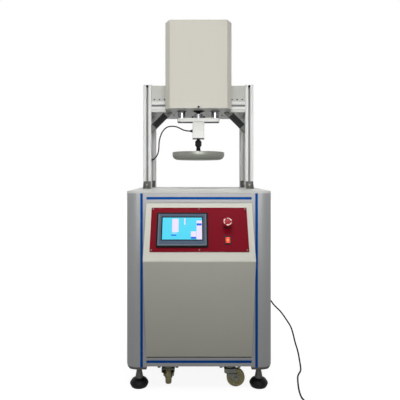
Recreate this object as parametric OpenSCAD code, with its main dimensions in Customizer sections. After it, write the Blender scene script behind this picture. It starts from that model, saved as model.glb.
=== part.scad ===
// Foam indentation hardness tester: a floor-standing cabinet with a control desk, a slotted gantry over its
// table, and a motor-driven head that presses a round plate into a foam sample.
// Millimetres, +Z up, +X to the operator's right, +Y to the back. The floor is at Z = 0.

/* [Cabinet] */
// Overall width of the cabinet
cabinet_w = 600; // [540:5:760]
// Depth of the cabinet frame, from its front face to its back face
cabinet_d = 700; // [640:5:900]
// Height of the table surface above the floor
table_z = 817; // [750:1:900]
// Height of the lowest rail above the floor
frame_z = 101; // [95:1:130]
// Thickness of the folded sheet-metal panels
sheet = 2; // [1.5:0.5:3]
// Joint left between a panel and the frame around it
panel_gap = 0.3; // [0.1:0.1:0.8]

/* [Frame profiles] */
// Width of each arm of the rounded corner posts
post_size = 85; // [80:1:90]
// Radius of the corner posts' outer corner
post_r = 45; // [30:1:45]
// Wall around the corner posts' hollow
post_wall = 4; // [3:0.5:6]
// Width of the slotted rails, beams and columns
rail = 40; // [36:1:45]
// Radius along the edges of a slotted profile
rail_r = 2; // [1:0.5:3]
// Width of the mouth of a slot
slot_mouth = 10.6; // [8:0.2:12]
// Depth of the lips beside a slot's mouth
slot_lip = 4.5; // [3:0.5:6]
// Width of a slot behind its lips
slot_chamber = 19; // [16:0.5:22]
// Depth of a slot from the profile's face
slot_depth = 12; // [10:0.5:13]
// Diameter of the hole down the middle of a profile
core_bore = 6.8; // [5:0.2:9]
// Thickness of the end caps under the corner posts
cap_t = 9; // [6:1:12]
// Radius of the rounding under the outside of the cabinet
bottom_r = 22; // [10:1:25]

/* [Table] */
// Thickness of the vented table plate
table_t = 8; // [5:1:12]
// Height of the skirt that keeps the table plate in the frame
table_skirt = 30; // [20:1:36]
// Diameter of the air holes in the table
vent_d = 6; // [4:0.5:8]
// Distance between neighbouring air holes
vent_pitch = 20; // [16:1:25]
// Number of air holes along each side of the square field
vent_rows = 17; // [9:2:17]
// Width of the plain border around the air holes
support_border = 20; // [10:1:30]
// How far the field that carries the sample stands above the table
support_rise = 1.5; // [0.5:0.5:1.5]

/* [Front panel] */
// How far the fold of the front panel stands proud of the frame
bulge = 135; // [90:5:160]
// Height of the fold below the panel's top edge
fold_drop = 213; // [205:1:260]
// Radius of the fold
fold_r = 10; // [4:1:20]
// Depth of the panel's flanges behind the frame's front face
panel_flange = 20; // [10:1:30]

/* [Control plate] */
// Width of the control plate
control_w = 384; // [380:2:410]
// Height of the control plate along the slope
control_h = 192; // [190:1:198]
// Distance of the control plate from the slope's top edge
control_top = 22; // [18:1:26]
// Thickness of the control plate
control_t = 3; // [2:0.5:5]
// Width of the screen's bezel
screen_w = 204; // [190:1:206]
// Height of the screen's bezel
screen_h = 150; // [140:1:152]
// How far the bezel stands proud of the plate
screen_proud = 7; // [4:1:10]
// Distance of the screen's middle to the left of the plate's middle
screen_x = 67; // [60:1:75]
// Distance of the screen's middle below the slope's top edge
screen_s = 122.5; // [118:0.5:124]
// Width of the display
display_w = 156; // [140:1:162]
// Height of the display
display_h = 95; // [80:1:98]
// How far the display's middle lies above the screen's middle
display_rise = 4.5; // [3:0.5:6]
// Depth of the screen unit behind the plate
screen_depth = 34; // [25:1:45]
// Distance of the push buttons to the right of the plate's middle
button_x = 111; // [100:1:120]
// Distance of the emergency stop below the slope's top edge
stop_s = 101; // [90:1:105]
// Distance of the rocker switch below the slope's top edge
rocker_s = 166.5; // [160:0.5:175]
// Diameter of the emergency stop's mushroom head
stop_head_d = 40; // [32:1:44]
// Travel of the emergency stop
stop_travel = 4; // [3:0.5:6]
// Width of the rocker switch's bezel
rocker_w = 28; // [24:1:32]
// Height of the rocker switch's bezel
rocker_h = 35; // [30:1:38]

/* [Gantry] */
// Distance of the columns' middles from the cabinet's outer faces
column_inset = 50; // [46:1:60]
// Distance of the front columns' front face behind the cabinet's front face
column_setback = 380; // [340:5:400]
// Distance of the rear columns' back face from the cabinet's back face
column_rear = 20; // [20:1:60]
// Height of the columns above the table
column_h = 510; // [480:1:600]
// Height of the beams' underside above the table
beam_rise = 387; // [370:1:430]
// Thickness of the plates that stand on the beams
beam_plate_t = 8; // [5:1:10]
// Height of the plates that stand on the beams
beam_plate_h = 79; // [60:1:83]
// Distance between neighbouring screws of the beam plates
beam_screw_pitch = 25; // [20:1:30]
// Distance of the outermost of those screws from the column
beam_screw_inset = 14; // [10:1:18]
// Width of the black braces
brace_w = 30; // [20:1:32]
// Distance of a brace's line from the corner, along the column and along the plate
brace_reach = 81; // [78:1:110]
// Size of the die-cast brackets at the foot of the columns
bracket_size = 36; // [28:1:38]
// Thickness of the brackets' plates
bracket_t = 5; // [4:0.5:7]

/* [Head] */
// Distance of the indenter's axis in front of the front columns' front face
axis_front = 35.5; // [35.5:0.5:45]
// Thickness of the plate that carries the head
head_t = 12; // [10:1:16]
// Room above the belt case inside the head cover
head_room = 66; // [20:1:90]
// Width of the head cover
cover_w = 312; // [304:1:330]
// Width of the head cover's front face
cover_front_w = 266; // [250:1:280]
// Distance of the cover's front face in front of the indenter's axis
cover_front = 102; // [95:1:115]
// Depth of the bevel beside the front face
cover_bevel = 50; // [40:1:60]
// Distance of the cover's back behind the indenter's axis
cover_back = 168; // [164:1:190]
// Width of the actuator's body
actuator_w = 66; // [60:1:68]
// Length of the actuator's body above its flange
actuator_h = 258; // [255:1:275]
// Distance of the motor's axis behind the actuator's axis
motor_y = 112; // [106:1:116]
// Width of the servo motor
motor_w = 80; // [70:1:84]
// Length of the servo motor
motor_h = 132; // [110:1:138]
// Height of the belt case on top of the actuator
belt_case_h = 54; // [40:1:60]

/* [Electrics] */
// Width of the plate that carries the electrics
electrics_w = 360; // [300:5:400]
// Height of the plate that carries the electrics
electrics_h = 470; // [400:5:500]
// Distance of that plate in front of the cabinet's back face
electrics_back = 110; // [80:5:160]
// Width of the servo drive
drive_w = 70; // [50:1:90]
// Height of the servo drive
drive_h = 170; // [140:1:200]
// Depth of the servo drive
drive_d = 170; // [120:1:200]
// Width of the power supply
supply_w = 115; // [90:1:130]
// Height of the power supply
supply_h = 200; // [160:1:230]
// Depth of the power supply
supply_d = 42; // [30:1:60]

/* [Indenter] */
// Travel of the indenter below its rest position
stroke = 137; // [100:1:137]
// Travel of the indenter above its rest position
stroke_up = 10; // [0:1:12]
// Diameter of the guide rods
guide_d = 35; // [30:1:36]
// Distance of the guide rods' axes from the indenter's axis
guide_x = 80; // [78:1:84]
// Running clearance around a guide rod or axle, on the radius
running = 0.05; // [0.02:0.01:0.1]
// Diameter of the thrust rod
thrust_d = 30; // [24:1:32]
// Gap between the crosshead and the head plate at rest
crosshead_gap = 36; // [34:1:44]
// Width of the crosshead plate
crosshead_w = 200; // [196:1:220]
// Depth of the crosshead plate
crosshead_d = 60; // [56:1:66]
// Thickness of the crosshead plate
crosshead_t = 19; // [16:1:24]
// Width and depth of the load cell's case
case_w = 56; // [54:1:64]
// Height of the load cell's case
case_h = 80; // [78:1:90]
// Length of the hex coupling between the case and the indenter plate
coupling_h = 45; // [40:1:55]
// Diameter of the indenter plate
disc_d = 250; // [200:1:300]
// Thickness of the indenter plate
disc_t = 37; // [30:1:40]
// Radius of the indenter plate's lower edge
disc_edge_r = 25; // [10:1:25]

/* [Feet and casters] */
// Distance of the feet's axes from the cabinet's outer faces
foot_inset = 50; // [50:1:54]
// Diameter of a foot's pad
foot_d = 80; // [60:1:90]
// Height of a foot's rubber pad
foot_pad_h = 36; // [26:1:40]
// Diameter of a foot's threaded stem
stem_d = 16; // [12:1:17]
// Distance of the casters' swivel axes from the cabinet's outer faces
caster_side = 172; // [165:1:190]
// Distance of the casters' swivel axes from the cabinet's front and back faces
caster_inset = 42; // [40:1:60]
// Diameter of a caster wheel
wheel_d = 75; // [60:1:76]
// Width of a caster wheel
wheel_w = 26; // [22:1:28]
// Distance of a wheel's axle behind the swivel axis
trail = 25; // [20:1:30]
// Height of the wheels above the floor while the machine stands on its feet
wheel_lift = 4; // [2:1:8]

/* [Cords] */
// Diameter of the load cell's cable
cell_cable_d = 6; // [5:0.5:7]
// Diameter of the mains cord
power_cord_d = 7; // [6:0.5:8]
// Height of the load cell cable's clip above the table
clip_rise = 141; // [120:1:180]
// Height of the mains cord's gland above the floor
gland_z = 283; // [240:1:320]

/* [Hidden] */
$fn = 48;
// A cut runs this far past the face that it opens
past = 1;
LEFT = -1;
RIGHT = 1;
FRONT = -1;
REAR = 1;

// Planes of the cabinet
front_y = bulge / 2 - cabinet_d / 2;
back_y = front_y + cabinet_d;
mid_y = (front_y + back_y) / 2;
side_x = cabinet_w / 2;
post_x = side_x - post_size;
post_front_y = front_y + post_size;
post_back_y = back_y - post_size;
arm_mid = rail / 2;
frame_top_z = table_z - table_t;
top_rail_z = frame_top_z - rail;
RAIL_MIDDLES = [frame_z + rail / 2, top_rail_z + rail / 2];
post_z = frame_z - 3;
bottom_panel_z = frame_z + rail;

// The sloping desk: a point on it is given by its distance s down the slope and its x
desk_top_z = top_rail_z - panel_gap;
desk_bottom_z = bottom_panel_z;
slope_angle = atan(bulge / fold_drop);
control_mid = control_top + control_h / 2;
display_s = screen_s - display_rise;

// The gantry
column_x = side_x - column_inset;
column_front_y = front_y + column_setback + rail / 2;
column_rear_y = back_y - column_rear - rail / 2;
column_top_z = table_z + column_h;
column_inner_x = column_x - rail / 2;
beam_z = table_z + beam_rise;
beam_top_z = beam_z + rail;
head_z = beam_z - head_t;
axis_y = column_front_y - rail / 2 - axis_front;

// The actuator and its drive
actuator_flange_t = 18;
actuator_z = beam_z + actuator_flange_t;
actuator_top_z = actuator_z + actuator_h;
nose_recess_r = 26;

// The head cover
cover_top_z = actuator_top_z + belt_case_h + head_room;
cover_h = cover_top_z - head_z;
cover_step_z = column_top_z + sheet;
cover_step_y = column_front_y - rail / 2 - 0.5;
cover_front_y = axis_y - cover_front;
cover_back_y = axis_y + cover_back;

// The moving assembly, from the crosshead down
crosshead_top_z = head_z - crosshead_gap;
crosshead_z = crosshead_top_z - crosshead_t;
case_z = crosshead_z - case_h;
disc_hub_h = 18;
disc_top_z = case_z - coupling_h - disc_hub_h;
disc_z = disc_top_z - disc_t;
joint_flange_h = 20;
joint_top_z = head_z + 13;
thrust_rod_top_z = actuator_top_z - 80;
bushing_wall = 7.5;
bushing_flange = 18;
bushing_flange_h = 10;
bushing_screw_d = 6;
bushing_top_z = beam_z + 70;
collar_z = bushing_top_z + stroke + 5;
collar_h = 15;

// Casters
caster_x = side_x - caster_side;
caster_plate_t = 4;
race_h = 12;
axle_d = 8;
wheel_z = wheel_lift + wheel_d / 2;
crown_z = frame_z - caster_plate_t - race_h;
CASTERS = [[LEFT, FRONT, 0], [RIGHT, FRONT, -90], [LEFT, REAR, -90], [RIGHT, REAR, 180]];

function unit(v) = v / norm(v);
function left_of(v) = unit([-v[1], v[0]]);
function around(list, i) = list[(i + len(list)) % len(list)];

// An outline with each corner i rounded to radii[i]
function fillet(a, b, c, r, steps) =
    let (u = unit(a - b), v = unit(c - b), half = acos(u * v) / 2,
         middle = b + unit(u + v) * r / sin(half),
         from = b + u * r / tan(half) - middle, to = b + v * r / tan(half) - middle,
         start = atan2(from[1], from[0]), turn = atan2(from[0] * to[1] - from[1] * to[0], from * to))
    [for (k = [0:steps]) middle + r * [cos(start + turn * k / steps), sin(start + turn * k / steps)]];

function rounded(points, radii, steps = 5) =
    [for (i = [0:len(points) - 1])
        each (radii[i] <= 0 ? [points[i]]
            : fillet(around(points, i - 1), points[i], around(points, i + 1), radii[i], steps))];

// A counter-clockwise outline moved inwards by t
function inset(points, t) =
    [for (i = [0:len(points) - 1])
        let (n = left_of(points[i] - around(points, i - 1)), m = left_of(around(points, i + 1) - points[i]))
        points[i] + (n + m) * t / (1 + n * m)];

function rectangle(w, h) = [[-w / 2, -h / 2], [w / 2, -h / 2], [w / 2, h / 2], [-w / 2, h / 2]];

module rounded_rectangle(w, h, r, steps = 5) {
    polygon(rounded(rectangle(w, h), [r, r, r, r], steps));
}

module block(low, high) {
    translate(low) cube(high - low);
}

module ring(outer_r, inner_r, h) {
    difference() {
        cylinder(r = outer_r, h = h);
        translate([0, 0, -past]) cylinder(r = inner_r, h = h + 2 * past);
    }
}

// Places its child at the four corners, with the cabinet's outer corner towards +X and +Y
module at_corners() {
    translate([0, mid_y, 0])
        for (mx = [0, 1], my = [0, 1])
            mirror([mx, 0, 0]) mirror([0, my, 0]) children();
}

// Places its child on the desk's slope: local X to the right, local Y up the slope, local Z outwards
module on_slope(x, s) {
    translate([x, front_y - s * sin(slope_angle), desk_top_z - s * cos(slope_angle)])
        rotate([90 - slope_angle, 0, 0]) children();
}

// Places its child at the four corner posts, with the inside of a post's angle at the origin
module at_posts() {
    at_corners() translate([post_x, cabinet_d / 2 - post_size, 0]) children();
}

// One slot, cut into a face at x = 0 that looks towards +X
module slot_2d() {
    m = slot_mouth / 2;
    c = slot_chamber / 2;
    floor_half = c - (slot_depth - slot_lip) * 0.7;
    polygon([[past, m], [-slot_lip, m], [-slot_lip, c], [-slot_lip - 2, c], [-slot_depth, floor_half],
        [-slot_depth, -floor_half], [-slot_lip - 2, -c], [-slot_lip, -c], [-slot_lip, -m], [past, -m]]);
}

module profile_2d(size, slot_scale = 1) {
    difference() {
        rounded_rectangle(size, size, rail_r);
        for (a = [0:90:270]) rotate(a) translate([size / 2, 0]) scale(slot_scale) slot_2d();
        circle(d = core_bore * slot_scale);
    }
}

module profile(length, size = rail, slot_scale = 1) {
    linear_extrude(length) profile_2d(size, slot_scale);
}

// Corner post section, with the inside of its angle at the origin and its round corner at +X, +Y
module post_outline_2d() {
    middle = post_size - post_r;
    difference() {
        square(post_size);
        translate([middle, middle]) difference() {
            square(post_r + past);
            circle(r = post_r, $fn = 96);
        }
    }
}

module post_section_2d() {
    pocket = post_size - rail;
    hollow = pocket + post_wall;
    difference() {
        post_outline_2d();
        translate([-past, -past]) square(pocket + past);
        intersection() {
            translate([hollow, hollow]) square(rail);
            translate([post_size - post_r, post_size - post_r]) circle(r = post_r - post_wall, $fn = 96);
        }
        translate([arm_mid, post_size]) rotate(90) slot_2d();
        translate([post_size, arm_mid]) slot_2d();
        translate([0, post_size - arm_mid]) rotate(180) slot_2d();
        translate([post_size - arm_mid, 0]) rotate(-90) slot_2d();
    }
}

// What the rounding under the cabinet takes off its outer faces, at the corner towards +X, +Y
module bottom_rounding() {
    z = frame_z - 3 - cap_t;
    difference() {
        translate([0, 0, z - past]) cube([post_size + past, post_size + past, bottom_r + past]);
        translate([0, 0, z + bottom_r]) {
            translate([post_size - bottom_r, -past, 0]) rotate([-90, 0, 0])
                cylinder(r = bottom_r, h = post_size + 3 * past);
        }
        translate([-past, -past, z - 2 * past])
            cube([post_size - bottom_r + past, post_size + 3 * past, rail]);
    }
}

module corner_posts() {
    color([0.70, 0.71, 0.71]) at_posts() difference() {
        translate([0, 0, post_z]) linear_extrude(frame_top_z - post_z) post_section_2d();
        bottom_rounding();
    }
}

module post_end_caps() {
    bore = post_size - foot_inset;
    color([0.45, 0.46, 0.46]) at_posts() difference() {
        translate([0, 0, post_z - cap_t]) linear_extrude(cap_t) post_outline_2d();
        bottom_rounding();
        translate([bore, bore, 0]) cylinder(d = stem_d + 2 * running, h = frame_z);
    }
}

module frame_rails() {
    color([0.72, 0.73, 0.73]) for (z = RAIL_MIDDLES) {
        for (y = [front_y + rail / 2, back_y - rail / 2])
            translate([-post_x, y, z]) rotate([90, 0, 90]) profile(2 * post_x);
        for (x = [-side_x + rail / 2, side_x - rail / 2])
            translate([x, post_back_y, z]) rotate([90, 0, 0]) profile(post_back_y - post_front_y);
    }
}

// A cover strip in a slot whose face at x = 0 looks towards +X: a flat top on two legs
module strip_2d() {
    half = slot_mouth / 2;
    top = 1.6;
    recess = 0.2;
    leg = 1.4;
    translate([-recess - top, -half]) square([top, slot_mouth]);
    for (side = [-1, 1])
        translate([-slot_lip, side * (half - leg / 2) - leg / 2]) square([slot_lip - 1, leg]);
}

module slot_strips() {
    height = frame_top_z - post_z;
    side_start = post_z - cap_t + bottom_r;
    color([0.01, 0.20, 0.47]) {
        at_corners() translate([0, 0, post_z]) {
            translate([post_x + arm_mid, cabinet_d / 2, 0]) rotate(90) linear_extrude(height) strip_2d();
            translate([side_x, cabinet_d / 2 - post_size + arm_mid, side_start - post_z])
                linear_extrude(frame_top_z - side_start) strip_2d();
        }
        for (z = RAIL_MIDDLES) {
            for (end = [0, 1]) translate([0, mid_y, z]) mirror([0, end, 0])
                translate([-post_x, cabinet_d / 2, 0]) rotate([0, 90, 0]) rotate(90)
                    linear_extrude(2 * post_x) strip_2d();
            for (end = [0, 1]) mirror([end, 0, 0]) translate([side_x, post_back_y, z])
                rotate([90, 0, 0]) linear_extrude(post_back_y - post_front_y) strip_2d();
        }
    }
}

// A plate over the whole frame, with a skirt inside the rails and a raised field that carries the sample
module table_plate() {
    field = (vent_rows - 1) * vent_pitch;
    support_w = field + 2 * support_border;
    skirt = [cabinet_w - 2 * rail, cabinet_d - 2 * rail];
    color([0.78, 0.79, 0.78]) difference() {
        union() {
            translate([0, mid_y, frame_top_z]) linear_extrude(table_t)
                rounded_rectangle(cabinet_w, cabinet_d, post_r, 12);
            translate([0, mid_y, frame_top_z - table_skirt]) linear_extrude(table_skirt + past)
                square(skirt, center = true);
            translate([0, axis_y, table_z - table_t / 2]) linear_extrude(table_t / 2 + support_rise)
                rounded_rectangle(support_w, support_w, support_border / 2);
        }
        translate([0, mid_y, frame_top_z - table_skirt - past]) linear_extrude(table_skirt + past)
            square(skirt - [2 * sheet, 2 * sheet], center = true);
        translate([-field / 2, axis_y - field / 2, frame_top_z - past])
            linear_extrude(table_t + support_rise + 2 * past)
                for (i = [0:vent_rows - 1], k = [0:vent_rows - 1])
                    translate([i * vent_pitch, k * vent_pitch]) circle(d = vent_d, $fn = 16);
    }
}

// The desk seen from its side as (y, z), counter-clockwise from its lower flange
function desk_outline() =
    [[front_y + panel_flange, desk_bottom_z], [front_y + panel_flange, desk_top_z], [front_y, desk_top_z],
        [front_y - bulge, desk_top_z - fold_drop], [front_y, desk_bottom_z]];

module desk_prism(points, radii, half_w) {
    translate([-half_w, 0, 0]) rotate([90, 0, 90]) linear_extrude(2 * half_w)
        polygon(rounded(points, radii, 8));
}

module front_panel() {
    outer = desk_outline();
    inner = inset(outer, sheet);
    open_y = front_y + panel_flange + past;
    hollow = [[open_y, inner[0][1]], [open_y, inner[1][1]], inner[2], inner[3], inner[4]];
    opening = [control_w - 40, control_h - 32];
    color([0.80, 0.80, 0.76]) difference() {
        desk_prism(outer, [0, 0, 1, fold_r, 1], post_x);
        desk_prism(hollow, [0, 0, 0, fold_r - sheet, 0], post_x - sheet);
        on_slope(0, control_mid) translate([0, 0, -4 * sheet]) linear_extrude(6 * sheet)
            square(opening, center = true);
        for (sx = [-1, 0, 1], sy = [-1, 1]) on_slope(sx * screw_x, control_mid + sy * screw_y)
            translate([0, 0, -4 * sheet]) cylinder(d = screw_hole_d, h = 6 * sheet);
    }
}

// Screws of the control plate, from its middle
screw_x = control_w / 2 - 7;
screw_y = control_h / 2 - 7;

// A tray whose outer face is at z = 0 and looks towards +Z
module panel_tray(w, h) {
    difference() {
        translate([0, 0, -panel_turn_in]) linear_extrude(panel_turn_in) rounded_rectangle(w, h, 1.5);
        translate([0, 0, -panel_turn_in - past]) linear_extrude(panel_turn_in + past - sheet)
            square([w - 2 * sheet, h - 2 * sheet], center = true);
    }
}

// Rows of slots that fill a field of width w, upwards from y = 0
module vent_slots(columns, rows, w) {
    slot_w = (w - (columns - 1) * vent_slot_gap) / columns;
    for (c = [0:columns - 1], r = [0:rows - 1])
        translate([(c - (columns - 1) / 2) * (slot_w + vent_slot_gap), r * vent_slot_pitch, -3 * sheet])
            linear_extrude(6 * sheet) rounded_rectangle(slot_w, vent_slot_h, vent_slot_h * 0.48, 2);
}

panel_recess = 3;
panel_turn_in = 18;
vent_slot_h = 5;
vent_slot_gap = 20;
vent_slot_pitch = 12;
vent_margin = 60;
vent_top = 150;
panel_h = desk_top_z - desk_bottom_z;
panel_mid_z = (desk_top_z + desk_bottom_z) / 2;

module side_panels() {
    w = post_back_y - post_front_y - 2 * panel_gap;
    color([0.80, 0.80, 0.76]) for (side = [LEFT, RIGHT])
        translate([side * (side_x - panel_recess), mid_y, panel_mid_z]) rotate([90, 0, side * 90])
            difference() {
                panel_tray(w, panel_h);
                translate([0, panel_h / 2 - vent_top, 0]) vent_slots(4, 6, w - 2 * vent_margin);
                if (side == RIGHT)
                    translate([column_front_y - mid_y, gland_z - panel_mid_z, -3 * sheet])
                        cylinder(d = gland_thread_d + 2 * running, h = 6 * sheet);
            }
}

module rear_panel() {
    w = 2 * post_x - 2 * panel_gap;
    color([0.80, 0.80, 0.76]) translate([0, back_y - panel_recess, panel_mid_z]) rotate([90, 0, 180]) {
        difference() {
            panel_tray(w, panel_h);
            for (y = [panel_h / 2 - vent_top, vent_margin - panel_h / 2])
                translate([0, y, 0]) vent_slots(3, 8, w - 2 * vent_margin);
        }
        for (sx = [-1, 1], sy = [-1, 1]) translate([sx * (w / 2 - 12), sy * (panel_h / 2 - 12), 0])
            pan_screw(10, 2.6, 5, sheet / 2);
    }
}

module bottom_panel() {
    notch = post_size + panel_gap;
    margin = panel_recess + panel_turn_in + 2;
    color([0.62, 0.63, 0.63]) translate([0, 0, bottom_panel_z]) linear_extrude(sheet) difference() {
        translate([0, mid_y]) square([cabinet_w - 2 * margin, cabinet_d - 2 * margin], center = true);
        for (x = [-side_x, side_x - notch], y = [front_y, back_y - notch]) translate([x, y]) square(notch);
        translate([-side_x, front_y]) square([cabinet_w, panel_flange + panel_gap]);
        for (y = [front_y + 160, back_y - 160]) translate([-200, y]) circle(d = 30);
    }
}

// Places its child on the control plate's outer face
module on_plate(x, s) {
    on_slope(x, s) translate([0, 0, control_t]) children();
}

module control_plate() {
    color([0.46, 0.08, 0.14]) difference() {
        on_slope(0, control_mid) linear_extrude(control_t) rounded_rectangle(control_w, control_h, 2);
        on_slope(-screen_x, screen_s) translate([0, 0, -past]) linear_extrude(control_t + 2 * past)
            square([screen_w - 8, screen_h - 8], center = true);
        on_slope(button_x, stop_s) translate([0, 0, -past])
            cylinder(d = stop_neck_d + 2 * running, h = 3 * control_t);
        on_slope(button_x, rocker_s) translate([0, 0, -past]) linear_extrude(control_t + 2 * past)
            square([rocker_w - 5, rocker_h - 5], center = true);
        for (sx = [-1, 0, 1], sy = [-1, 1]) on_slope(sx * screw_x, control_mid + sy * screw_y)
            translate([0, 0, -past]) cylinder(d = screw_hole_d, h = 3 * control_t);
    }
}

stop_neck_d = 22;
screw_head_d = 7;
screw_head_h = 2.4;
screw_d = 4;
screw_hole_d = 4.4;

// A pan-head screw with a cross recess
module pan_screw(head_d, head_h, shank_d, shank_h) {
    recess = [head_d * 0.6, head_d * 0.16];
    difference() {
        rotate_extrude() polygon(rounded([[0, -shank_h], [shank_d / 2, -shank_h], [shank_d / 2, 0],
            [head_d / 2, 0], [head_d / 2, head_h], [0, head_h]], [0, 0, 0, 0, head_h * 0.6, 0], 4));
        for (a = [0, 90]) rotate(a) translate([0, 0, head_h / 2]) linear_extrude(head_h)
            square(recess, center = true);
    }
}

// A cap screw with a hexagon socket in its head
module cap_screw(head_d, head_h, shank_d, shank_h) {
    difference() {
        union() {
            cylinder(d = head_d, h = head_h);
            translate([0, 0, -shank_h]) cylinder(d = shank_d, h = shank_h + past);
        }
        translate([0, 0, head_h / 2]) cylinder(d = head_d * 0.55, h = head_h, $fn = 6);
    }
}

function beam_screw_places() =
    [for (x = [column_inner_x - beam_screw_inset:-beam_screw_pitch:beam_screw_pitch]) x];

// The bolts of the frame, and their places in a bracket
bolt_d = 6;
bolt_head_d = 10;
bolt_hole_d = 6.4;
bracket_bolt_z = bracket_size * 0.55;
bracket_bolt_y = -bracket_size * 0.6;

beam_screw_z = beam_top_z + 11;
beam_plate_y = column_front_y - rail / 2 + 6;

module frame_screws() {
    color([0.25, 0.25, 0.25]) {
        for (sx = [-1, 0, 1], sy = [-1, 1]) on_plate(sx * screw_x, control_mid + sy * screw_y)
            pan_screw(screw_head_d, screw_head_h, screw_d, control_t + sheet + 3);
        for (side = [LEFT, RIGHT], x = beam_screw_places()) {
            translate([side * x, beam_plate_y, beam_screw_z]) rotate([90, 0, 0])
                pan_screw(screw_head_d, screw_head_h, screw_d, beam_plate_t);
            translate([side * x, beam_plate_back_y, beam_screw_z]) rotate([-90, 0, 0])
                pan_screw(screw_head_d, screw_head_h, screw_d, beam_plate_t);
        }
        for (side = [LEFT, RIGHT]) {
            for (y = [column_front_y, column_rear_y]) translate([side * column_x, y - rail / 2, table_z]) {
                translate([0, -bracket_t, bracket_bolt_z]) rotate([90, 0, 0])
                    cap_screw(bolt_head_d, bolt_d, bolt_d, bracket_t + 3);
                translate([0, bracket_bolt_y, bracket_t]) cap_screw(bolt_head_d, bolt_d, bolt_d, bracket_t);
            }
            translate([side * column_x, column_front_y - rail / 2, column_top_z - 8]) rotate([90, 0, 0])
                cap_screw(slot_mouth + 1.4, 2, bolt_d, slot_lip);
            translate([side * head_screw_x, head_screw_y, head_z]) rotate([180, 0, 0])
                pan_screw(8, 3, screw_d, head_t);
            for (end = [FRONT, REAR]) at_caster_bolt(side, end) rotate([180, 0, 0]) cap_screw(13, 7, 8, 6);
        }
        translate([0, cover_front_y, head_z + head_t / 2]) rotate([90, 0, 0]) pan_screw(10, 2.6, 5, 10);
    }
}

module screen_housing() {
    lip = 5;
    frame_w = screen_w - 2 * lip;
    frame_h = screen_h - 2 * lip;
    color([0.42, 0.46, 0.51]) difference() {
        union() {
            on_plate(-screen_x, screen_s) {
                linear_extrude(screen_proud - 2) rounded_rectangle(screen_w, screen_h, 5);
                linear_extrude(screen_proud) rounded_rectangle(frame_w, frame_h, 3);
            }
            on_slope(-screen_x, screen_s) translate([0, 0, -screen_depth])
                linear_extrude(screen_depth + control_t)
                    square([screen_w - 12, screen_h - 12], center = true);
        }
        on_plate(-screen_x, display_s) translate([0, 0, screen_proud - 2.5]) linear_extrude(5)
            square([display_w + 8, display_h + 8], center = true);
    }
}

module screen_glass() {
    color([0.31, 0.80, 0.92]) on_plate(-screen_x, display_s) translate([0, 0, screen_proud - 2.5])
        linear_extrude(1.7) square([display_w + 7.8, display_h + 7.8], center = true);
}

stem_r = 5;

// The collar on the plate, its neck through it, and the nut and contact block behind it
module stop_collar() {
    bore = stem_r + running;
    r = 16;
    nut_h = 9;
    neck_h = 12;
    block_z = -control_t - 45;
    color([0.30, 0.05, 0.08]) on_plate(button_x, stop_s) difference() {
        union() {
            rotate_extrude() polygon(rounded([[0, 0], [r, 0], [r, 4], [r - 2, 6], [0, 6]], [0, 0, 1, 1, 0]));
            translate([0, 0, -control_t - neck_h]) cylinder(d = stop_neck_d, h = control_t + neck_h + past);
            translate([0, 0, block_z]) linear_extrude(34) rounded_rectangle(2 * r - 2, 2 * r + 8, 2);
            translate([0, 0, -control_t - nut_h]) ring(r - 1, stop_neck_d / 2 - past, nut_h);
        }
        translate([0, 0, -control_t - 30]) cylinder(r = bore, h = 60);
        translate([0, 0, -control_t - 26]) cylinder(r = bore + 2, h = 14);
    }
}

// The plunger slides in the collar and carries the head, which turns on its upper end
plunger_top = 22;
head_rise = stop_travel + 9;

module stop_plunger() {
    color([0.15, 0.15, 0.15]) on_plate(button_x, stop_s) {
        translate([0, 0, -control_t - 22]) cylinder(r = stem_r, h = control_t + 22 + plunger_top);
        translate([0, 0, -control_t - 18.5]) cylinder(r = stem_r + 1.5, h = 2);
    }
}

module stop_head() {
    r = stop_head_d / 2;
    bore = stem_r + running;
    color([0.75, 0.06, 0.10]) on_plate(button_x, stop_s) difference() {
        rotate_extrude() polygon(rounded([[0, head_rise - 2], [9, head_rise - 2], [10, head_rise + 8],
            [r - 3, head_rise + 9], [r, head_rise + 13], [r - 2, head_rise + 19], [r * 0.55, head_rise + 22],
            [0, head_rise + 22.5]], [0, 2, 3, 3, 4, 5, 8, 0], 4));
        translate([0, 0, head_rise - 5]) cylinder(r = bore, h = plunger_top - head_rise + 5.3);
    }
}

rocker_pivot = -3;
rocker_pin_d = 3;

module rocker_bezel() {
    color([0.06, 0.06, 0.06]) on_plate(button_x, rocker_s) difference() {
        union() {
            linear_extrude(2.6) rounded_rectangle(rocker_w, rocker_h, 2);
            translate([0, 0, -control_t - 22]) linear_extrude(control_t + 22)
                square([rocker_w - 5.4, rocker_h - 5.4], center = true);
        }
        translate([0, 0, -16]) linear_extrude(20) square([rocker_w - 8, rocker_h - 9], center = true);
        translate([-rocker_w, 0, rocker_pivot]) rotate([0, 90, 0])
            cylinder(d = rocker_pin_d + 2 * running, h = 2 * rocker_w);
    }
}

// Shown switched on: its lower half is pressed in
rocker_tilt = 8;

module rocker() {
    half_h = (rocker_h - 9) / 2 - 1.6;
    w = rocker_w - 9;
    pin_l = rocker_w - 6;
    color([0.90, 0.10, 0.10]) on_plate(button_x, rocker_s) translate([0, 0, rocker_pivot])
        rotate([rocker_tilt, 0, 0]) {
            translate([-w / 2, 0, 0]) rotate([90, 0, 90]) linear_extrude(w)
                polygon([[-half_h, 2], [-4, -7], [4, -7], [half_h, 2], [half_h, 8], [0, 5.6], [-half_h, 8]]);
            translate([-pin_l / 2, 0, 0]) rotate([0, 90, 0]) cylinder(d = rocker_pin_d, h = pin_l);
        }
}

module columns() {
    color([0.84, 0.85, 0.85]) for (side = [LEFT, RIGHT], y = [column_front_y, column_rear_y])
        translate([side * column_x, y, table_z]) profile(column_h);
}

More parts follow.
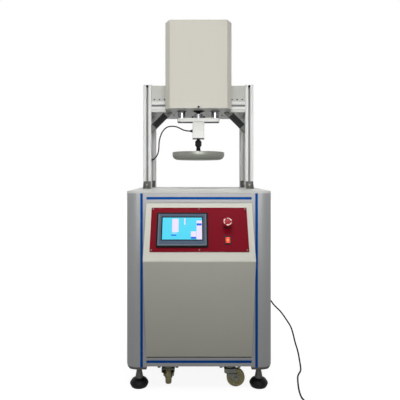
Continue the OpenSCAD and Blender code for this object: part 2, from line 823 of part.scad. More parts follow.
// A die-cast angle bracket: plates towards -Y and -Z against the column and the table, with two ribs
module angle_bracket() {
    w = bracket_size;
    difference() {
        union() {
            translate([-w / 2, -bracket_t, 0]) cube([w, bracket_t, w]);
            translate([-w / 2, -w, 0]) cube([w, w, bracket_t]);
            for (x = [-w / 2, w / 2 - 4]) translate([x, 0, 0]) rotate([90, 0, 90]) linear_extrude(4)
                polygon([[0, 0], [-w, 0], [-w, bracket_t], [-bracket_t, w], [0, w]]);
        }
        translate([0, bracket_bolt_y, -past]) cylinder(d = bolt_hole_d, h = bracket_t + 2 * past);
        translate([0, past, bracket_bolt_z]) rotate([90, 0, 0])
            cylinder(d = bolt_hole_d, h = bracket_t + 2 * past);
    }
}

// A brace lies in the corner between a column's inner face and the head plate's underside
brace_body = brace_reach * sqrt(2) - brace_w - 6;

module in_brace_corner(side) {
    mirror([side == RIGHT ? 1 : 0, 0, 0]) translate([-column_inner_x, column_front_y, head_z]) children();
}

module cast_brackets() {
    color([0.35, 0.36, 0.36]) {
        for (side = [LEFT, RIGHT], y = [column_front_y, column_rear_y])
            translate([side * column_x, y - rail / 2, table_z]) angle_bracket();
        for (side = [LEFT, RIGHT]) in_brace_corner(side) intersection() {
            rotate([0, 45, 0]) difference() {
                translate([brace_reach / sqrt(2) - brace_w / 2, -brace_w / 2, -brace_reach])
                    cube([brace_w, brace_w, 2 * brace_reach]);
                translate([0, -brace_w, -brace_body / 2]) cube([2 * brace_reach, 2 * brace_w, brace_body]);
            }
            translate([0, -brace_w, -2 * brace_reach]) cube(2 * brace_reach);
        }
    }
}

module corner_braces() {
    color([0.12, 0.13, 0.15]) for (side = [LEFT, RIGHT]) in_brace_corner(side)
        rotate([0, 45, 0]) translate([brace_reach / sqrt(2), 0, -brace_body / 2])
            profile(brace_body, brace_w, brace_w / rail);
}

module cross_beams() {
    z = beam_z + rail / 2;
    color([0.80, 0.81, 0.81]) {
        for (y = [column_front_y, column_rear_y])
            translate([-column_inner_x, y, z]) rotate([90, 0, 90]) profile(2 * column_inner_x);
        for (side = [LEFT, RIGHT]) translate([side * (column_x + 0.5), column_rear_y - rail / 2, z])
            rotate([90, 0, 0]) profile(column_rear_y - column_front_y - rail);
    }
}

beam_plate_back_y = column_rear_y + rail / 2 - 6;

module beam_plates() {
    x = column_inner_x - panel_gap;
    color([0.75, 0.75, 0.73]) for (y = [beam_plate_y, beam_plate_back_y - beam_plate_t]) difference() {
        block([-x, y, beam_top_z], [x, y + beam_plate_t, beam_top_z + beam_plate_h]);
        for (side = [LEFT, RIGHT], x = beam_screw_places()) translate([side * x, y - past, beam_screw_z])
            rotate([-90, 0, 0]) cylinder(d = screw_hole_d, h = beam_plate_t + 2 * past, $fn = 24);
    }
}

function cover_outline() =
    let (f = cover_front_w / 2, w = cover_w / 2)
    [[-f, cover_front_y], [f, cover_front_y], [w, cover_front_y + cover_bevel], [w, cover_back_y],
        [-w, cover_back_y], [-w, cover_front_y + cover_bevel]];

cover_bends = [4, 4, 4, 3, 3, 4];
cover_inner_bends = [2, 2, 2, 1, 1, 2];

module head_cover() {
    floor_y = cover_step_y;
    color([0.79, 0.78, 0.74]) difference() {
        union() {
            difference() {
                translate([0, 0, head_z]) linear_extrude(cover_h)
                    polygon(rounded(cover_outline(), cover_bends, 3));
                translate([0, 0, head_z - past]) linear_extrude(cover_h + past - sheet)
                    polygon(rounded(inset(cover_outline(), sheet), cover_inner_bends, 3));
                block([-cover_w, floor_y, head_z - past], [cover_w, cover_back_y + past, cover_step_z]);
            }
            block([-cover_w / 2 + sheet / 2, floor_y, cover_step_z],
                [cover_w / 2 - sheet / 2, cover_back_y - sheet / 2, cover_step_z + sheet]);
        }
        translate([0, cover_front_y + 3 * sheet, head_z + head_t / 2]) rotate([90, 0, 0])
            cylinder(d = 5.4, h = 6 * sheet);
        translate([0, cover_back_y, cover_top_z - vent_top]) rotate([90, 0, 0])
            vent_slots(2, 8, cover_w - 2 * vent_margin);
    }
}

head_screw_x = 123;
head_screw_y = 204;

module head_plate() {
    tongue = cover_step_y - cover_front_y + past;
    color([0.70, 0.70, 0.67]) translate([0, 0, head_z]) difference() {
        union() {
            linear_extrude(head_t) intersection() {
                polygon(rounded(inset(cover_outline(), sheet), cover_inner_bends, 3));
                translate([-cover_w, cover_front_y]) square([2 * cover_w, tongue]);
            }
            block([-column_inner_x, cover_step_y, 0], [column_inner_x, column_rear_y, head_t]);
        }
        for (side = [LEFT, RIGHT]) translate([side * head_screw_x, head_screw_y, -past])
            cylinder(d = screw_hole_d, h = head_t + 2 * past);
        translate([0, axis_y, -past]) cylinder(r = 32, h = head_t + 2 * past);
        for (x = [-guide_x, guide_x]) translate([x, axis_y, -past])
            cylinder(r = guide_d / 2 + bushing_wall, h = head_t + 2 * past);
        translate([0, cover_front_y + 20, head_t / 2]) rotate([90, 0, 0]) cylinder(d = 5.2, h = 40);
    }
}

module guide_bushings() {
    r = guide_d / 2;
    color([0.60, 0.61, 0.62]) for (x = [-guide_x, guide_x]) translate([x, axis_y, head_z]) difference() {
        union() {
            cylinder(r = r + bushing_wall - press_fit, h = bushing_top_z - head_z);
            translate([0, 0, head_t]) cylinder(r = r + bushing_flange, h = bushing_flange_h);
        }
        translate([0, 0, -past]) cylinder(r = r + running, h = bushing_top_z);
        for (a = [45:90:315]) rotate(a)
            translate([r + (bushing_wall + bushing_flange) / 2, 0, head_t + bushing_flange_h / 2])
                cylinder(d = bushing_screw_d, h = bushing_flange_h);
    }
}

module screw_actuator() {
    w = actuator_w;
    color([0.66, 0.67, 0.68]) translate([0, axis_y, 0]) difference() {
        union() {
            translate([0, 0, beam_z]) linear_extrude(actuator_flange_t) rounded_rectangle(w + 18, w + 4, 3);
            translate([0, 0, actuator_z - past]) linear_extrude(actuator_h + past) difference() {
                rounded_rectangle(w, w, 6);
                for (a = [0:90:270]) rotate(a) translate([w / 2 + 1, 0]) circle(d = 7);
            }
        }
        translate([0, 0, beam_z - past]) cylinder(r = nose_recess_r, h = actuator_flange_t - 1 + past);
        translate([0, 0, beam_z]) cylinder(r = thrust_d / 2 + running, h = actuator_flange_t + 20);
        translate([0, 0, actuator_z + 20]) cylinder(r = thrust_d / 2 + 5, h = actuator_h - 60);
        for (x = [-w / 2 - 4, w / 2 + 4], y = [-w / 2 + 8, w / 2 - 8])
            translate([x, y, beam_z - past]) cylinder(d = 6.4, h = actuator_flange_t + 2 * past);
    }
}

module belt_case() {
    end_r = motor_w / 2 + 4;
    front = -actuator_w / 2 - 4;
    back = motor_y + end_r;
    r = 18;
    color([0.25, 0.26, 0.28]) translate([0, axis_y, actuator_top_z]) linear_extrude(belt_case_h)
        polygon(rounded([[-end_r, front], [end_r, front], [end_r, back], [-end_r, back]], [r, r, r, r], 8));
}

module servo_motor() {
    flange_t = 12;
    body_w = motor_w - 6;
    socket = [28, 22, 30];
    color([0.13, 0.13, 0.14]) translate([0, axis_y + motor_y, actuator_top_z - motor_h]) {
        translate([0, 0, motor_h - flange_t]) linear_extrude(flange_t)
            rounded_rectangle(motor_w, motor_w, 4);
        linear_extrude(motor_h) rounded_rectangle(body_w, body_w, 10);
        translate([-socket[0] / 2, body_w / 2 - 5, 14]) cube(socket);
    }
}

electrics_y = back_y - electrics_back;
electrics_z = bottom_panel_z + sheet;
electrics_foot = 40;
// Margins of the drive and the supply from the plate's edges
electrics_margin = 50;
electrics_top = 40;

module electrics_plate() {
    half = electrics_w / 2;
    color([0.66, 0.67, 0.67]) {
        block([-half, electrics_y, electrics_z], [half, electrics_y + sheet, electrics_z + electrics_h]);
        block([-half, electrics_y, electrics_z], [half, electrics_y + electrics_foot, electrics_z + sheet]);
    }
}

module servo_drive() {
    rib = drive_h / 11;
    socket_w = drive_w * 0.4;
    x = electrics_margin - electrics_w / 2;
    z = electrics_z + electrics_h - electrics_top - drive_h;
    color([0.16, 0.17, 0.18]) translate([x, electrics_y - drive_d, z]) difference() {
        cube([drive_w, drive_d, drive_h]);
        for (k = [1:9]) translate([-past, rib, k * rib])
            cube([rib / 4 + past, drive_d - 2 * rib, rib * 0.4]);
        translate([drive_w * 0.3, -past, drive_h * 0.12]) cube([socket_w, rib / 2 + past, drive_h / 4]);
        translate([drive_w * 0.3, -past, drive_h * 0.5]) cube([socket_w, rib / 4 + past, drive_h / 3]);
    }
}

module power_supply() {
    pitch = supply_w / 7;
    x = electrics_w / 2 - electrics_margin - supply_w;
    z = electrics_z + electrics_h - electrics_top - supply_h;
    terminals = [supply_w - pitch, supply_d / 2 + past, supply_h * 0.11 + past];
    color([0.62, 0.63, 0.64]) translate([x, electrics_y - supply_d, z]) difference() {
        cube([supply_w, supply_d, supply_h]);
        for (i = [1:6], k = [0:8]) translate([i * pitch, 0, supply_h * 0.2 + k * pitch])
            rotate([90, 0, 0]) cylinder(d = pitch / 2, h = supply_d / 7, center = true, $fn = 6);
        translate([pitch / 2, -past, -past]) cube(terminals);
    }
}

module thrust_rod() {
    color([0.75, 0.76, 0.78]) translate([0, axis_y, joint_top_z])
        cylinder(d = thrust_d, h = thrust_rod_top_z - joint_top_z);
}

// Room for the tessellation around a shaft that sits fast in its bore
press_fit = 0.02;
rod_seat = 8;
rod_screw_recess = 6;

module guide_rods() {
    length = collar_z + collar_h + 10 - crosshead_top_z + rod_seat;
    r = guide_d / 2;
    color([0.80, 0.81, 0.83]) for (x = [-guide_x, guide_x]) {
        translate([x, axis_y, crosshead_top_z - rod_seat]) rotate_extrude()
            polygon([[0, 0], [r, 0], [r, length - 2], [r - 2, length], [0, length]]);
        translate([x, axis_y, crosshead_z + rod_screw_recess]) rotate([180, 0, 0])
            cap_screw(13, rod_screw_recess, 8, crosshead_t - rod_seat - rod_screw_recess);
    }
}

module stop_collars() {
    slit = 2;
    color([0.20, 0.20, 0.21]) for (side = [LEFT, RIGHT])
        translate([side * guide_x, axis_y, collar_z]) difference() {
            ring(guide_d / 2 + 11, guide_d / 2 + press_fit, collar_h);
            translate([-slit / 2, -guide_d, -past]) cube([slit, guide_d, collar_h + 2 * past]);
        }
}

module floating_joint() {
    z = crosshead_top_z + joint_flange_h;
    h = joint_top_z - z;
    r = 23;
    neck_r = 8.8;
    color([0.08, 0.08, 0.09]) {
        translate([0, axis_y, z]) rotate_extrude()
            polygon(rounded([[0, 0], [neck_r, 0], [neck_r, 7], [r - 1, 12], [r, 14], [r, 24], [r - 7, 25],
                [r - 7, h], [0, h]], [0, 0, 2, 1, 0.5, 1, 0, 0, 0], 3));
        for (side = [LEFT, RIGHT]) translate([side * 28, axis_y, crosshead_top_z]) cap_screw(9, 11, 5, 0);
    }
}

module crosshead() {
    r = 8;
    color([0.90, 0.90, 0.88]) translate([0, axis_y, crosshead_z]) difference() {
        union() {
            linear_extrude(crosshead_t) rounded_rectangle(crosshead_w, crosshead_d, r);
            translate([0, 0, crosshead_t - past]) cylinder(d = 44, h = joint_flange_h + past);
        }
        for (x = [-guide_x, guide_x]) translate([x, 0, 0]) {
            translate([0, 0, crosshead_t - rod_seat]) cylinder(r = guide_d / 2 + press_fit, h = 20);
            translate([0, 0, -past]) cylinder(d = 9, h = crosshead_t);
            translate([0, 0, -past]) cylinder(d = 15, h = past + rod_screw_recess);
        }
    }
}

cell_h = 62;
stud_d = 14;
gland_case_z = crosshead_z - 41;

module load_cell() {
    z = case_z + sheet + 5;
    w = 44;
    d = 20;
    through = d + 2 * past;
    cut = 5;
    web = 8;
    foot = 16;
    color([0.70, 0.71, 0.73]) translate([0, axis_y, 0]) difference() {
        translate([-w / 2, -d / 2, z]) cube([w, d, crosshead_z - z]);
        translate([-w / 2 - past, -through / 2, z + foot]) cube([w - web, through, cut]);
        translate([web - w / 2 + past, -through / 2, crosshead_z - foot - cut]) cube([w, through, cut]);
        translate([0, through / 2, (z + crosshead_z) / 2]) rotate([90, 0, 0]) cylinder(d = 18, h = through);
    }
}

module load_cell_case() {
    r = 5;
    inner_w = case_w - 2 * sheet;
    thread_d = 9;
    nut_h = 4;
    color([0.92, 0.92, 0.90]) translate([0, axis_y, case_z]) difference() {
        linear_extrude(case_h) rounded_rectangle(case_w, case_w, r);
        translate([0, 0, sheet]) linear_extrude(case_h) rounded_rectangle(inner_w, inner_w, r - sheet);
        translate([0, 0, -past]) cylinder(d = stud_d + 20, h = 10);
        translate([-case_w / 2 - past, 0, gland_case_z - case_z]) rotate([0, 90, 0])
            cylinder(d = thread_d, h = 3 * sheet);
    }
    color([0.10, 0.10, 0.10]) translate([-case_w / 2, axis_y, gland_case_z]) rotate([0, -90, 0])
        difference() {
            union() {
                cylinder(d = 15, h = nut_h, $fn = 6);
                translate([0, 0, nut_h]) cylinder(d1 = 12, d2 = thread_d, h = 8);
                translate([0, 0, -3 * sheet / 2]) cylinder(d = thread_d - 2 * running, h = 2 * sheet);
            }
            translate([0, 0, -10]) cylinder(d = cell_cable_d + 2 * running, h = 30);
        }
}

module disc_coupling() {
    z = disc_top_z + disc_hub_h;
    r = 15.6;
    neck_z = coupling_h - 5;
    color([0.07, 0.07, 0.09]) translate([0, axis_y, z]) {
        intersection() {
            cylinder(r = r, h = coupling_h, $fn = 6);
            rotate_extrude() polygon([[0, 0], [11, 0], [9, 6], [12, 9], [r, 14], [r, neck_z - 7],
                [9.5, neck_z], [stud_d / 2, neck_z], [stud_d / 2, coupling_h], [0, coupling_h]]);
        }
        translate([0, 0, coupling_h - past]) cylinder(d = stud_d, h = sheet + 5 + past);
    }
}

module indenter_disc() {
    r = disc_d / 2;
    color([0.51, 0.52, 0.49]) translate([0, axis_y, disc_z]) rotate_extrude($fn = 128) difference() {
        union() {
            square([r - disc_edge_r, disc_t]);
            translate([0, disc_edge_r]) square([r, disc_t - disc_edge_r - 3]);
            intersection() {
                translate([r - disc_edge_r, disc_edge_r]) circle(r = disc_edge_r, $fn = 96);
                translate([r - disc_edge_r - past, 0]) square([disc_edge_r + past, disc_edge_r]);
            }
            polygon([[0, disc_t], [0, disc_t - 4], [r, disc_t - 4], [r - 2, disc_t - 1], [r - 4, disc_t]]);
            polygon([[0, disc_t], [16, disc_t], [12, disc_t + 6], [9, disc_t + disc_hub_h],
                [0, disc_t + disc_hub_h]]);
        }
        translate([-r, 0]) square([r, 2 * disc_t]);
    }
}

// Places its child at a caster's swivel axis, turned so that local +Y is the way that the wheel trails
module at_caster(c) {
    y = c[1] == FRONT ? front_y + caster_inset : back_y - caster_inset;
    translate([c[0] * caster_x, y, 0]) rotate(c[2]) children();
}

// Places its child at the underside of the plate of the casters on one side and end, at each of its bolts
module at_caster_bolt(side, end) {
    y = end == FRONT ? front_y + rail / 2 : back_y - rail / 2;
    for (x = [-37, 37]) translate([side * caster_x + x, y, frame_z - caster_plate_t]) children();
}

module caster_plates() {
    top = race_h - 0.3;
    pin_r = 6;
    r = 24;
    color([0.42, 0.43, 0.42]) for (c = CASTERS) {
        y = c[1] == FRONT ? front_y + caster_inset : back_y - caster_inset;
        difference() {
            translate([c[0] * caster_x, y, frame_z - caster_plate_t]) linear_extrude(caster_plate_t)
                rounded_rectangle(95, 64, 8);
            at_caster_bolt(c[0], c[1]) translate([0, 0, -past])
                cylinder(d = 8.4, h = caster_plate_t + 2 * past);
        }
        translate([c[0] * caster_x, y, crown_z + 0.3]) {
            rotate_extrude() polygon([[0, -8], [pin_r, -8], [pin_r, 0], [r - 4, 0], [r, 4], [r, 7],
                [r - 3, top], [0, top]]);
            translate([0, 0, -8]) cylinder(d = 15, h = 4, $fn = 6);
        }
    }
}

// The fork seen from behind: a flat crown, shoulders that draw in, and two legs beside the wheel
module fork_front_2d() {
    top = 27;
    low = wheel_w / 2 + 3.5;
    t = 3;
    z1 = crown_z - 16;
    z2 = wheel_z + wheel_d / 2 - 20;
    polygon([[-top, crown_z], [-top, z1], [-low, z2], [-low, 0], [-low + t, 0], [-low + t, z2],
        [-top + t, z1], [-top + t, crown_z - t], [top - t, crown_z - t], [top - t, z1], [low - t, z2],
        [low - t, 0], [low, 0], [low, z2], [top, z1], [top, crown_z]]);
}

// The fork seen from its side, y along the trail
module fork_side_2d() {
    crown = 24;
    boss_r = 13;
    polygon([[-crown, crown_z + past], [-crown, crown_z - 14], [trail - boss_r + 1, wheel_z - 6],
        [trail + boss_r - 1, wheel_z - 4], [crown + 3, crown_z - 14], [crown, crown_z + past]]);
    translate([trail, wheel_z]) circle(r = boss_r);
}

module fork(c) {
    color([0.45, 0.46, 0.45]) at_caster(c) {
        difference() {
            intersection() {
                translate([0, 60, 0]) rotate([90, 0, 0]) linear_extrude(120) fork_front_2d();
                translate([-40, 0, 0]) rotate([90, 0, 90]) linear_extrude(80) fork_side_2d();
            }
            translate([0, 0, crown_z - 10]) cylinder(r = 6 + running, h = 30);
            translate([-60, trail, wheel_z]) rotate([0, 90, 0]) cylinder(d = axle_d + 2 * running, h = 120);
        }
        translate([-wheel_w / 2 - 6, trail, wheel_z]) rotate([0, 90, 0]) {
            cylinder(d = axle_d, h = wheel_w + 14);
            translate([0, 0, -3]) cylinder(d = 15, h = 5.5, $fn = 6);
            translate([0, 0, wheel_w + 9.5]) cylinder(d = 15, h = 6, $fn = 6);
        }
    }
}

module wheel(c) {
    r = wheel_d / 2;
    half = wheel_w / 2;
    color([0.55, 0.53, 0.36]) at_caster(c) translate([0, trail, wheel_z]) rotate([0, 90, 0])
        rotate_extrude($fn = 96) translate([0, -half]) polygon(rounded([[axle_d / 2 + running, 0], [10, 0],
            [11, 3], [r - 14, 3], [r - 12, 1], [r - 4, 1], [r, 6], [r, wheel_w - 6], [r - 4, wheel_w - 1],
            [r - 12, wheel_w - 1], [r - 14, wheel_w - 3], [11, wheel_w - 3], [10, wheel_w],
            [axle_d / 2 + running, wheel_w]], [0, 0, 0, 0, 1, 2, 5, 5, 2, 1, 0, 0, 0, 0], 4));
}

module foot(side, end) {
    y = end == FRONT ? front_y + foot_inset : back_y - foot_inset;
    r = foot_d / 2;
    h = foot_pad_h;
    cone_r = 16.5;
    screw_r = stem_d / 2;
    top = post_z + 46;
    nut_z = post_z - cap_t - 14;
    translate([side * (side_x - foot_inset), y, 0]) {
        color([0.10, 0.11, 0.10]) rotate_extrude($fn = 64)
            polygon(rounded([[0, 0], [r - 8, 0], [r, h * 0.45], [r - 10, h * 0.85], [r / 2, h], [0, h]],
                [0, 4, 9, 8, 3, 0], 5));
        color([0.40, 0.40, 0.38]) {
            rotate_extrude() polygon([[0, h], [cone_r, h], [cone_r, h + 3], [11, nut_z - 6],
                [screw_r, nut_z - 6], [screw_r, top], [screw_r - 1, top + 1], [0, top + 1]]);
            translate([0, 0, nut_z]) cylinder(d = 26, h = 8, $fn = 6);
        }
    }
}

// Cords
function smooth(p, steps) =
    [for (i = [0:len(p) - 2], k = [0:steps - 1])
        let (a = p[max(i - 1, 0)], b = p[i], c = p[i + 1], d = p[min(i + 2, len(p) - 1)], t = k / steps)
        b + ((c - a) * t + (2 * a - 5 * b + 4 * c - d) * t ^ 2 + (3 * b - a - 3 * c + d) * t ^ 3) / 2,
        p[len(p) - 1]];

function tangents(p) = [for (i = [0:len(p) - 1]) unit(p[min(i + 1, len(p) - 1)] - p[max(i - 1, 0)])];

// A side direction for each ring, carried along the route without twist
function sides_along(t, i, u) =
    i == len(t) ? [] : let (v = unit(u - t[i] * (t[i] * u))) concat([v], sides_along(t, i + 1, v));

module tube(route, d, steps, sides = 8) {
    p = smooth(route, steps);
    t = tangents(p);
    u = sides_along(t, 0, [0.1, 0.3, 1]);
    n = len(p);
    points = [for (i = [0:n - 1], k = [0:sides - 1])
        p[i] + d / 2 * (cos(360 * k / sides) * u[i] + sin(360 * k / sides) * cross(t[i], u[i]))];
    faces = concat([[for (k = [0:sides - 1]) k]],
        [for (i = [0:n - 2], k = [0:sides - 1]) let (a = i * sides, b = a + sides, j = (k + 1) % sides)
            [a + k, b + k, b + j, a + j]],
        [[for (k = [sides - 1:-1:0]) (n - 1) * sides + k]]);
    polyhedron(points, faces, convexity = 6);
}

cell_exit_x = -case_w / 2 - 12;
clip_z = table_z + clip_rise;
clip_t = 3;
// The cable's slanting end stands this far off the clip's face
clip_gap = 1.6;
CELL_ROUTE = [[cell_exit_x, axis_y, gland_case_z], [-50, axis_y, 1096.5], [-62, 62, 1098.5], [-74, 63, 1102],
    [-88, 64, 1109], [-103, 66, 1116], [-118, 69, 1119.5], [-132, 72, 1120], [-146, 76, 1118],
    [-158, 80, 1112.5], [-169, 84, 1102.5], [-179, 89, 1088], [-185, 93, 1073], [-190, 97, 1057],
    [-193, 101, 1036], [-194, 104, 1014], [-198, 108, 993], [-206, 112, 976], [-216, 116, 965],
    [clip_t + clip_gap - column_inner_x, column_front_y, clip_z + 1]];

module load_cell_cable() {
    color([0.05, 0.05, 0.06]) tube(CELL_ROUTE, cell_cable_d, 1);
}

module cable_clip() {
    color([0.08, 0.08, 0.08]) translate([-column_inner_x, column_front_y, clip_z]) rotate([0, 90, 0]) {
        translate([0, 0, -slot_lip]) cylinder(d = slot_mouth - 0.2, h = slot_lip);
        cylinder(d1 = 16, d2 = 11, h = clip_t);
    }
}

gland_thread_d = 16;
gland_x = side_x - panel_recess;
relief_l = 31;

module power_gland() {
    color([0.07, 0.07, 0.07]) translate([gland_x, column_front_y, gland_z]) rotate([0, 90, 0]) difference() {
        union() {
            translate([0, 0, -sheet - 6]) cylinder(d = gland_thread_d, h = sheet + 8);
            cylinder(d = 24, h = 6, $fn = 6);
            translate([0, 0, 6]) rotate_extrude() polygon(rounded([[0, 0], [10.5, 0], [10.5, 5], [6.5, 8],
                [power_cord_d / 2 + 1, relief_l - 6], [0, relief_l - 6]], [0, 0, 2, 2, 0, 0]));
            translate([0, 0, -sheet - 5]) cylinder(d = 22, h = 5, $fn = 6);
        }
        translate([0, 0, relief_l - 14]) cylinder(d = power_cord_d + 2 * running, h = 30);
    }
}

floor_z = power_cord_d / 2 + 0.1;
POWER_ROUTE = [[gland_x + relief_l - 13, column_front_y, gland_z],
    [gland_x + relief_l, column_front_y, gland_z], [338, 117, 281], [348, 115, 275], [358, 112, 264],
    [370, 106, 248], [384, 98, 234], [398, 88, 221.5], [411, 76, 206], [422, 62.5, 190], [432, 50, 175],
    [442, 37, 157], [448, 20, 132], [454, -2.5, 96], [459, -13, 77], [463, -22, 58], [465, -29, 42],
    [466, -38, 27.5],
    [466, -50, 16], [464.5, -66, 8], [460, -86, 4.2], [452, -106, floor_z], [442, -126, floor_z],
    [433, -150, floor_z], [427, -175, floor_z], [422, -200, floor_z], [417, -228, floor_z],
    [412, -258, floor_z], [408, -290, floor_z], [405.5, -320, floor_z], [406, -348, floor_z],
    [412, -374, floor_z],
    [421, -391, floor_z], [429, -402, floor_z]];

coil_centre = [400, -450];
coil_r = 42;
coil_lanes = 3;
coil_layers = 2;

module power_cord() {
    color([0.05, 0.05, 0.05]) tube(POWER_ROUTE, power_cord_d, 2);
}

module cord_coil() {
    across = coil_lanes * power_cord_d;
    color([0.05, 0.05, 0.05]) translate([coil_centre[0], coil_centre[1], 0])
        rotate_extrude($fn = 64) translate([coil_r - across / 2, 0])
            square([across, coil_layers * power_cord_d]);
}

// Lies beside the coil and points to -X
module plug() {
    w = 26;
    body = 44;
    relief = 20;
    outer_r = coil_r + coil_lanes / 2 * power_cord_d;
    lane_r = outer_r - power_cord_d / 2;
    neck_r = power_cord_d / 2 + 1;
    reach = sqrt(outer_r ^ 2 - (lane_r - neck_r) ^ 2) + 0.3;
    translate([coil_centre[0] - reach, coil_centre[1] - lane_r, w / 2]) rotate([0, -90, 0]) {
        color([0.06, 0.06, 0.06]) {
            cylinder(r1 = neck_r, r2 = 7.5, h = relief + past);
            translate([0, 0, relief]) linear_extrude(body) rounded_rectangle(w, 34, 8);
        }
        color([0.75, 0.74, 0.70]) for (p = [[6, 0], [-5, -8], [-5, 8]])
            translate([p[0] - 0.8, p[1] - 3, relief + body - past]) cube([1.6, 6, 17 + past]);
    }
}

corner_posts();
frame_rails();
slot_strips();
post_end_caps();
table_plate();
front_panel();
side_panels();
rear_panel();
bottom_panel();
control_plate();
frame_screws();
screen_housing();
screen_glass();
stop_collar();
rocker_bezel();
columns();
cast_brackets();
cross_beams();
beam_plates();
corner_braces();
head_cover();
head_plate();
guide_bushings();
screw_actuator();
belt_case();
servo_motor();
electrics_plate();
servo_drive();
power_supply();
caster_plates();
cable_clip();
thrust_rod();
guide_rods();
stop_collars();
floating_joint();
crosshead();
load_cell();
load_cell_case();
disc_coupling();
indenter_disc();
load_cell_cable();
stop_plunger();
stop_head();
rocker();
fork(CASTERS[0]);  // fork_front_left
fork(CASTERS[1]);  // fork_front_right
fork(CASTERS[2]);  // fork_rear_left
fork(CASTERS[3]);  // fork_rear_right
wheel(CASTERS[0]);  // wheel_front_left
wheel(CASTERS[1]);  // wheel_front_right
wheel(CASTERS[2]);  // wheel_rear_left
wheel(CASTERS[3]);  // wheel_rear_right
foot(LEFT, FRONT);  // foot_front_left
foot(RIGHT, FRONT);  // foot_front_right
foot(LEFT, REAR);  // foot_rear_left
foot(RIGHT, REAR);  // foot_rear_right
power_gland();
power_cord();
cord_coil();
plug();
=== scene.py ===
"""The looks of the foam indentation hardness tester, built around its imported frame.

Every piece is in metres, in the frame's own axes: +X to the operator's right, +Y to the back, +Z up.
"""
import math

import bmesh
import bpy
from bpy.props import FloatProperty, FloatVectorProperty, IntProperty, PointerProperty
from mathutils import Matrix, Vector
from mathutils.bvhtree import BVHTree


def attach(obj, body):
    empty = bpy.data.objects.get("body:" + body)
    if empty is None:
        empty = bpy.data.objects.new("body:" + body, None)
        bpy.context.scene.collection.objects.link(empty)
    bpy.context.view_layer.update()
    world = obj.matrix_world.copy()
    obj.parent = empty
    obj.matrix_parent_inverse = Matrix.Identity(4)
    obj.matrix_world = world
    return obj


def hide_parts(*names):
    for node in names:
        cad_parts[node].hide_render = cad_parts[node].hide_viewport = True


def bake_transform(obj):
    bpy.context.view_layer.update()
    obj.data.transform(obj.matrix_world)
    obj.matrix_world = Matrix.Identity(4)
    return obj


bl_info = {
    "name": "Foam indentation hardness tester",
    "version": (1, 0, 0),
    "blender": (4, 5, 0),
    "location": "View3D > Sidebar > Tester",
    "description": "Finishes, cords, display and small printed pieces of a foam hardness tester",
    "category": "Object",
}

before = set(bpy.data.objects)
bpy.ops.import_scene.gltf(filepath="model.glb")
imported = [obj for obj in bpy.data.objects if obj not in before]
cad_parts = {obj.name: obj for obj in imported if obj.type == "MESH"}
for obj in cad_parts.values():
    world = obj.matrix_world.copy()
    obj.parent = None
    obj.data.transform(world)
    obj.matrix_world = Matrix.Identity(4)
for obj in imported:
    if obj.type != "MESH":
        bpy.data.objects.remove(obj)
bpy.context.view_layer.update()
MM = 0.001

# Places that the CAD source also holds
DESK_TOP = Vector((0, -0.2825, 0.7687))
DESK_TURN = math.radians(90) - math.atan2(0.135, 0.213)
PLATE_T = 0.003
FRONT_Y = -0.2825
PANEL_FOOT = 0.141
STOP_AT = (0.111, -0.101)
ROCKER_AT = (0.111, -0.1665)
SCREEN_AT = (-0.067, -0.1225)
DISPLAY_AT = (-0.067, -0.118)
AXIS_Y = 0.062
COLUMN_X, GANTRY_Y, GANTRY_HALF_DEPTH = 0.25, 0.2475, 0.13
COLUMN_TOP = 1.327
BEAM_MIDDLE = 1.224
HALF_SLOT = 0.0045
CORD_EXIT = Vector((0.315, 0.1175, 0.283))
COIL_MIDDLE = Vector((0.400, -0.450, 0))
PLUG_NECK = Vector((0.3717, -0.499, 0.013))
FEET = {"front_left": (-0.25, -0.2325), "front_right": (0.25, -0.2325),
        "rear_left": (-0.25, 0.3675), "rear_right": (0.25, 0.3675)}

# Where a finish ends on its node, in metres
RAIL_END, BEAM_END = 0.216, 0.231
BLACK_SCREWS_FROM = 1.15
# CROSSHEAD_SIDE and CROSSHEAD_UNDERSIDE bound painted shade on the crosshead, and CASE_FOOT bounds it on
# the case
CROSSHEAD_SIDE, CROSSHEAD_UNDERSIDE, FLANGE_FOOT = 0.0975, 1.138, 1.1562
CASE_SIDE, CASE_FOOT = -0.02802, 1.0602
DISC_NECK = 0.9945
PLUG_FACE = 0.3077
PAD_TOP = 0.0361

# Routes listed in millimetres, as the CAD source has them
CELL_ROUTE = [(-40, 62, 1096), (-50, 62, 1096.5), (-62, 62, 1098.5), (-74, 63, 1102), (-88, 64, 1109),
              (-103, 66, 1116), (-118, 69, 1119.5), (-132, 72, 1120), (-146, 76, 1118), (-158, 80, 1112.5),
              (-169, 84, 1102.5), (-179, 89, 1088), (-185, 93, 1073), (-190, 97, 1057), (-193, 101, 1036),
              (-194, 104, 1014), (-198, 108, 993), (-206, 112, 976), (-216, 116, 965), (-225.4, 117.5, 959)]
POWER_ROUTE = [(315, 117.5, 283), (328, 117.5, 283), (338, 117, 281), (348, 115, 275), (358, 112, 264),
               (370, 106, 248), (384, 98, 234), (398, 88, 221.5), (411, 76, 206), (422, 62.5, 190),
               (432, 50, 175), (442, 37, 157), (448, 20, 132), (454, -2.5, 96), (459, -13, 77),
               (463, -22, 58), (465, -29, 42), (466, -38, 27.5), (466, -50, 16), (464.5, -66, 8),
               (460, -86, 4.2), (452, -106, 3.6), (442, -126, 3.6), (433, -150, 3.6),
               (427, -175, 3.6), (422, -200, 3.6), (417, -228, 3.6), (412, -258, 3.6),
               (408, -290, 3.6), (405.5, -320, 3.6), (406, -348, 3.6),
               (412, -374, 3.6), (421, -391, 3.6), (429, -402, 3.9)]

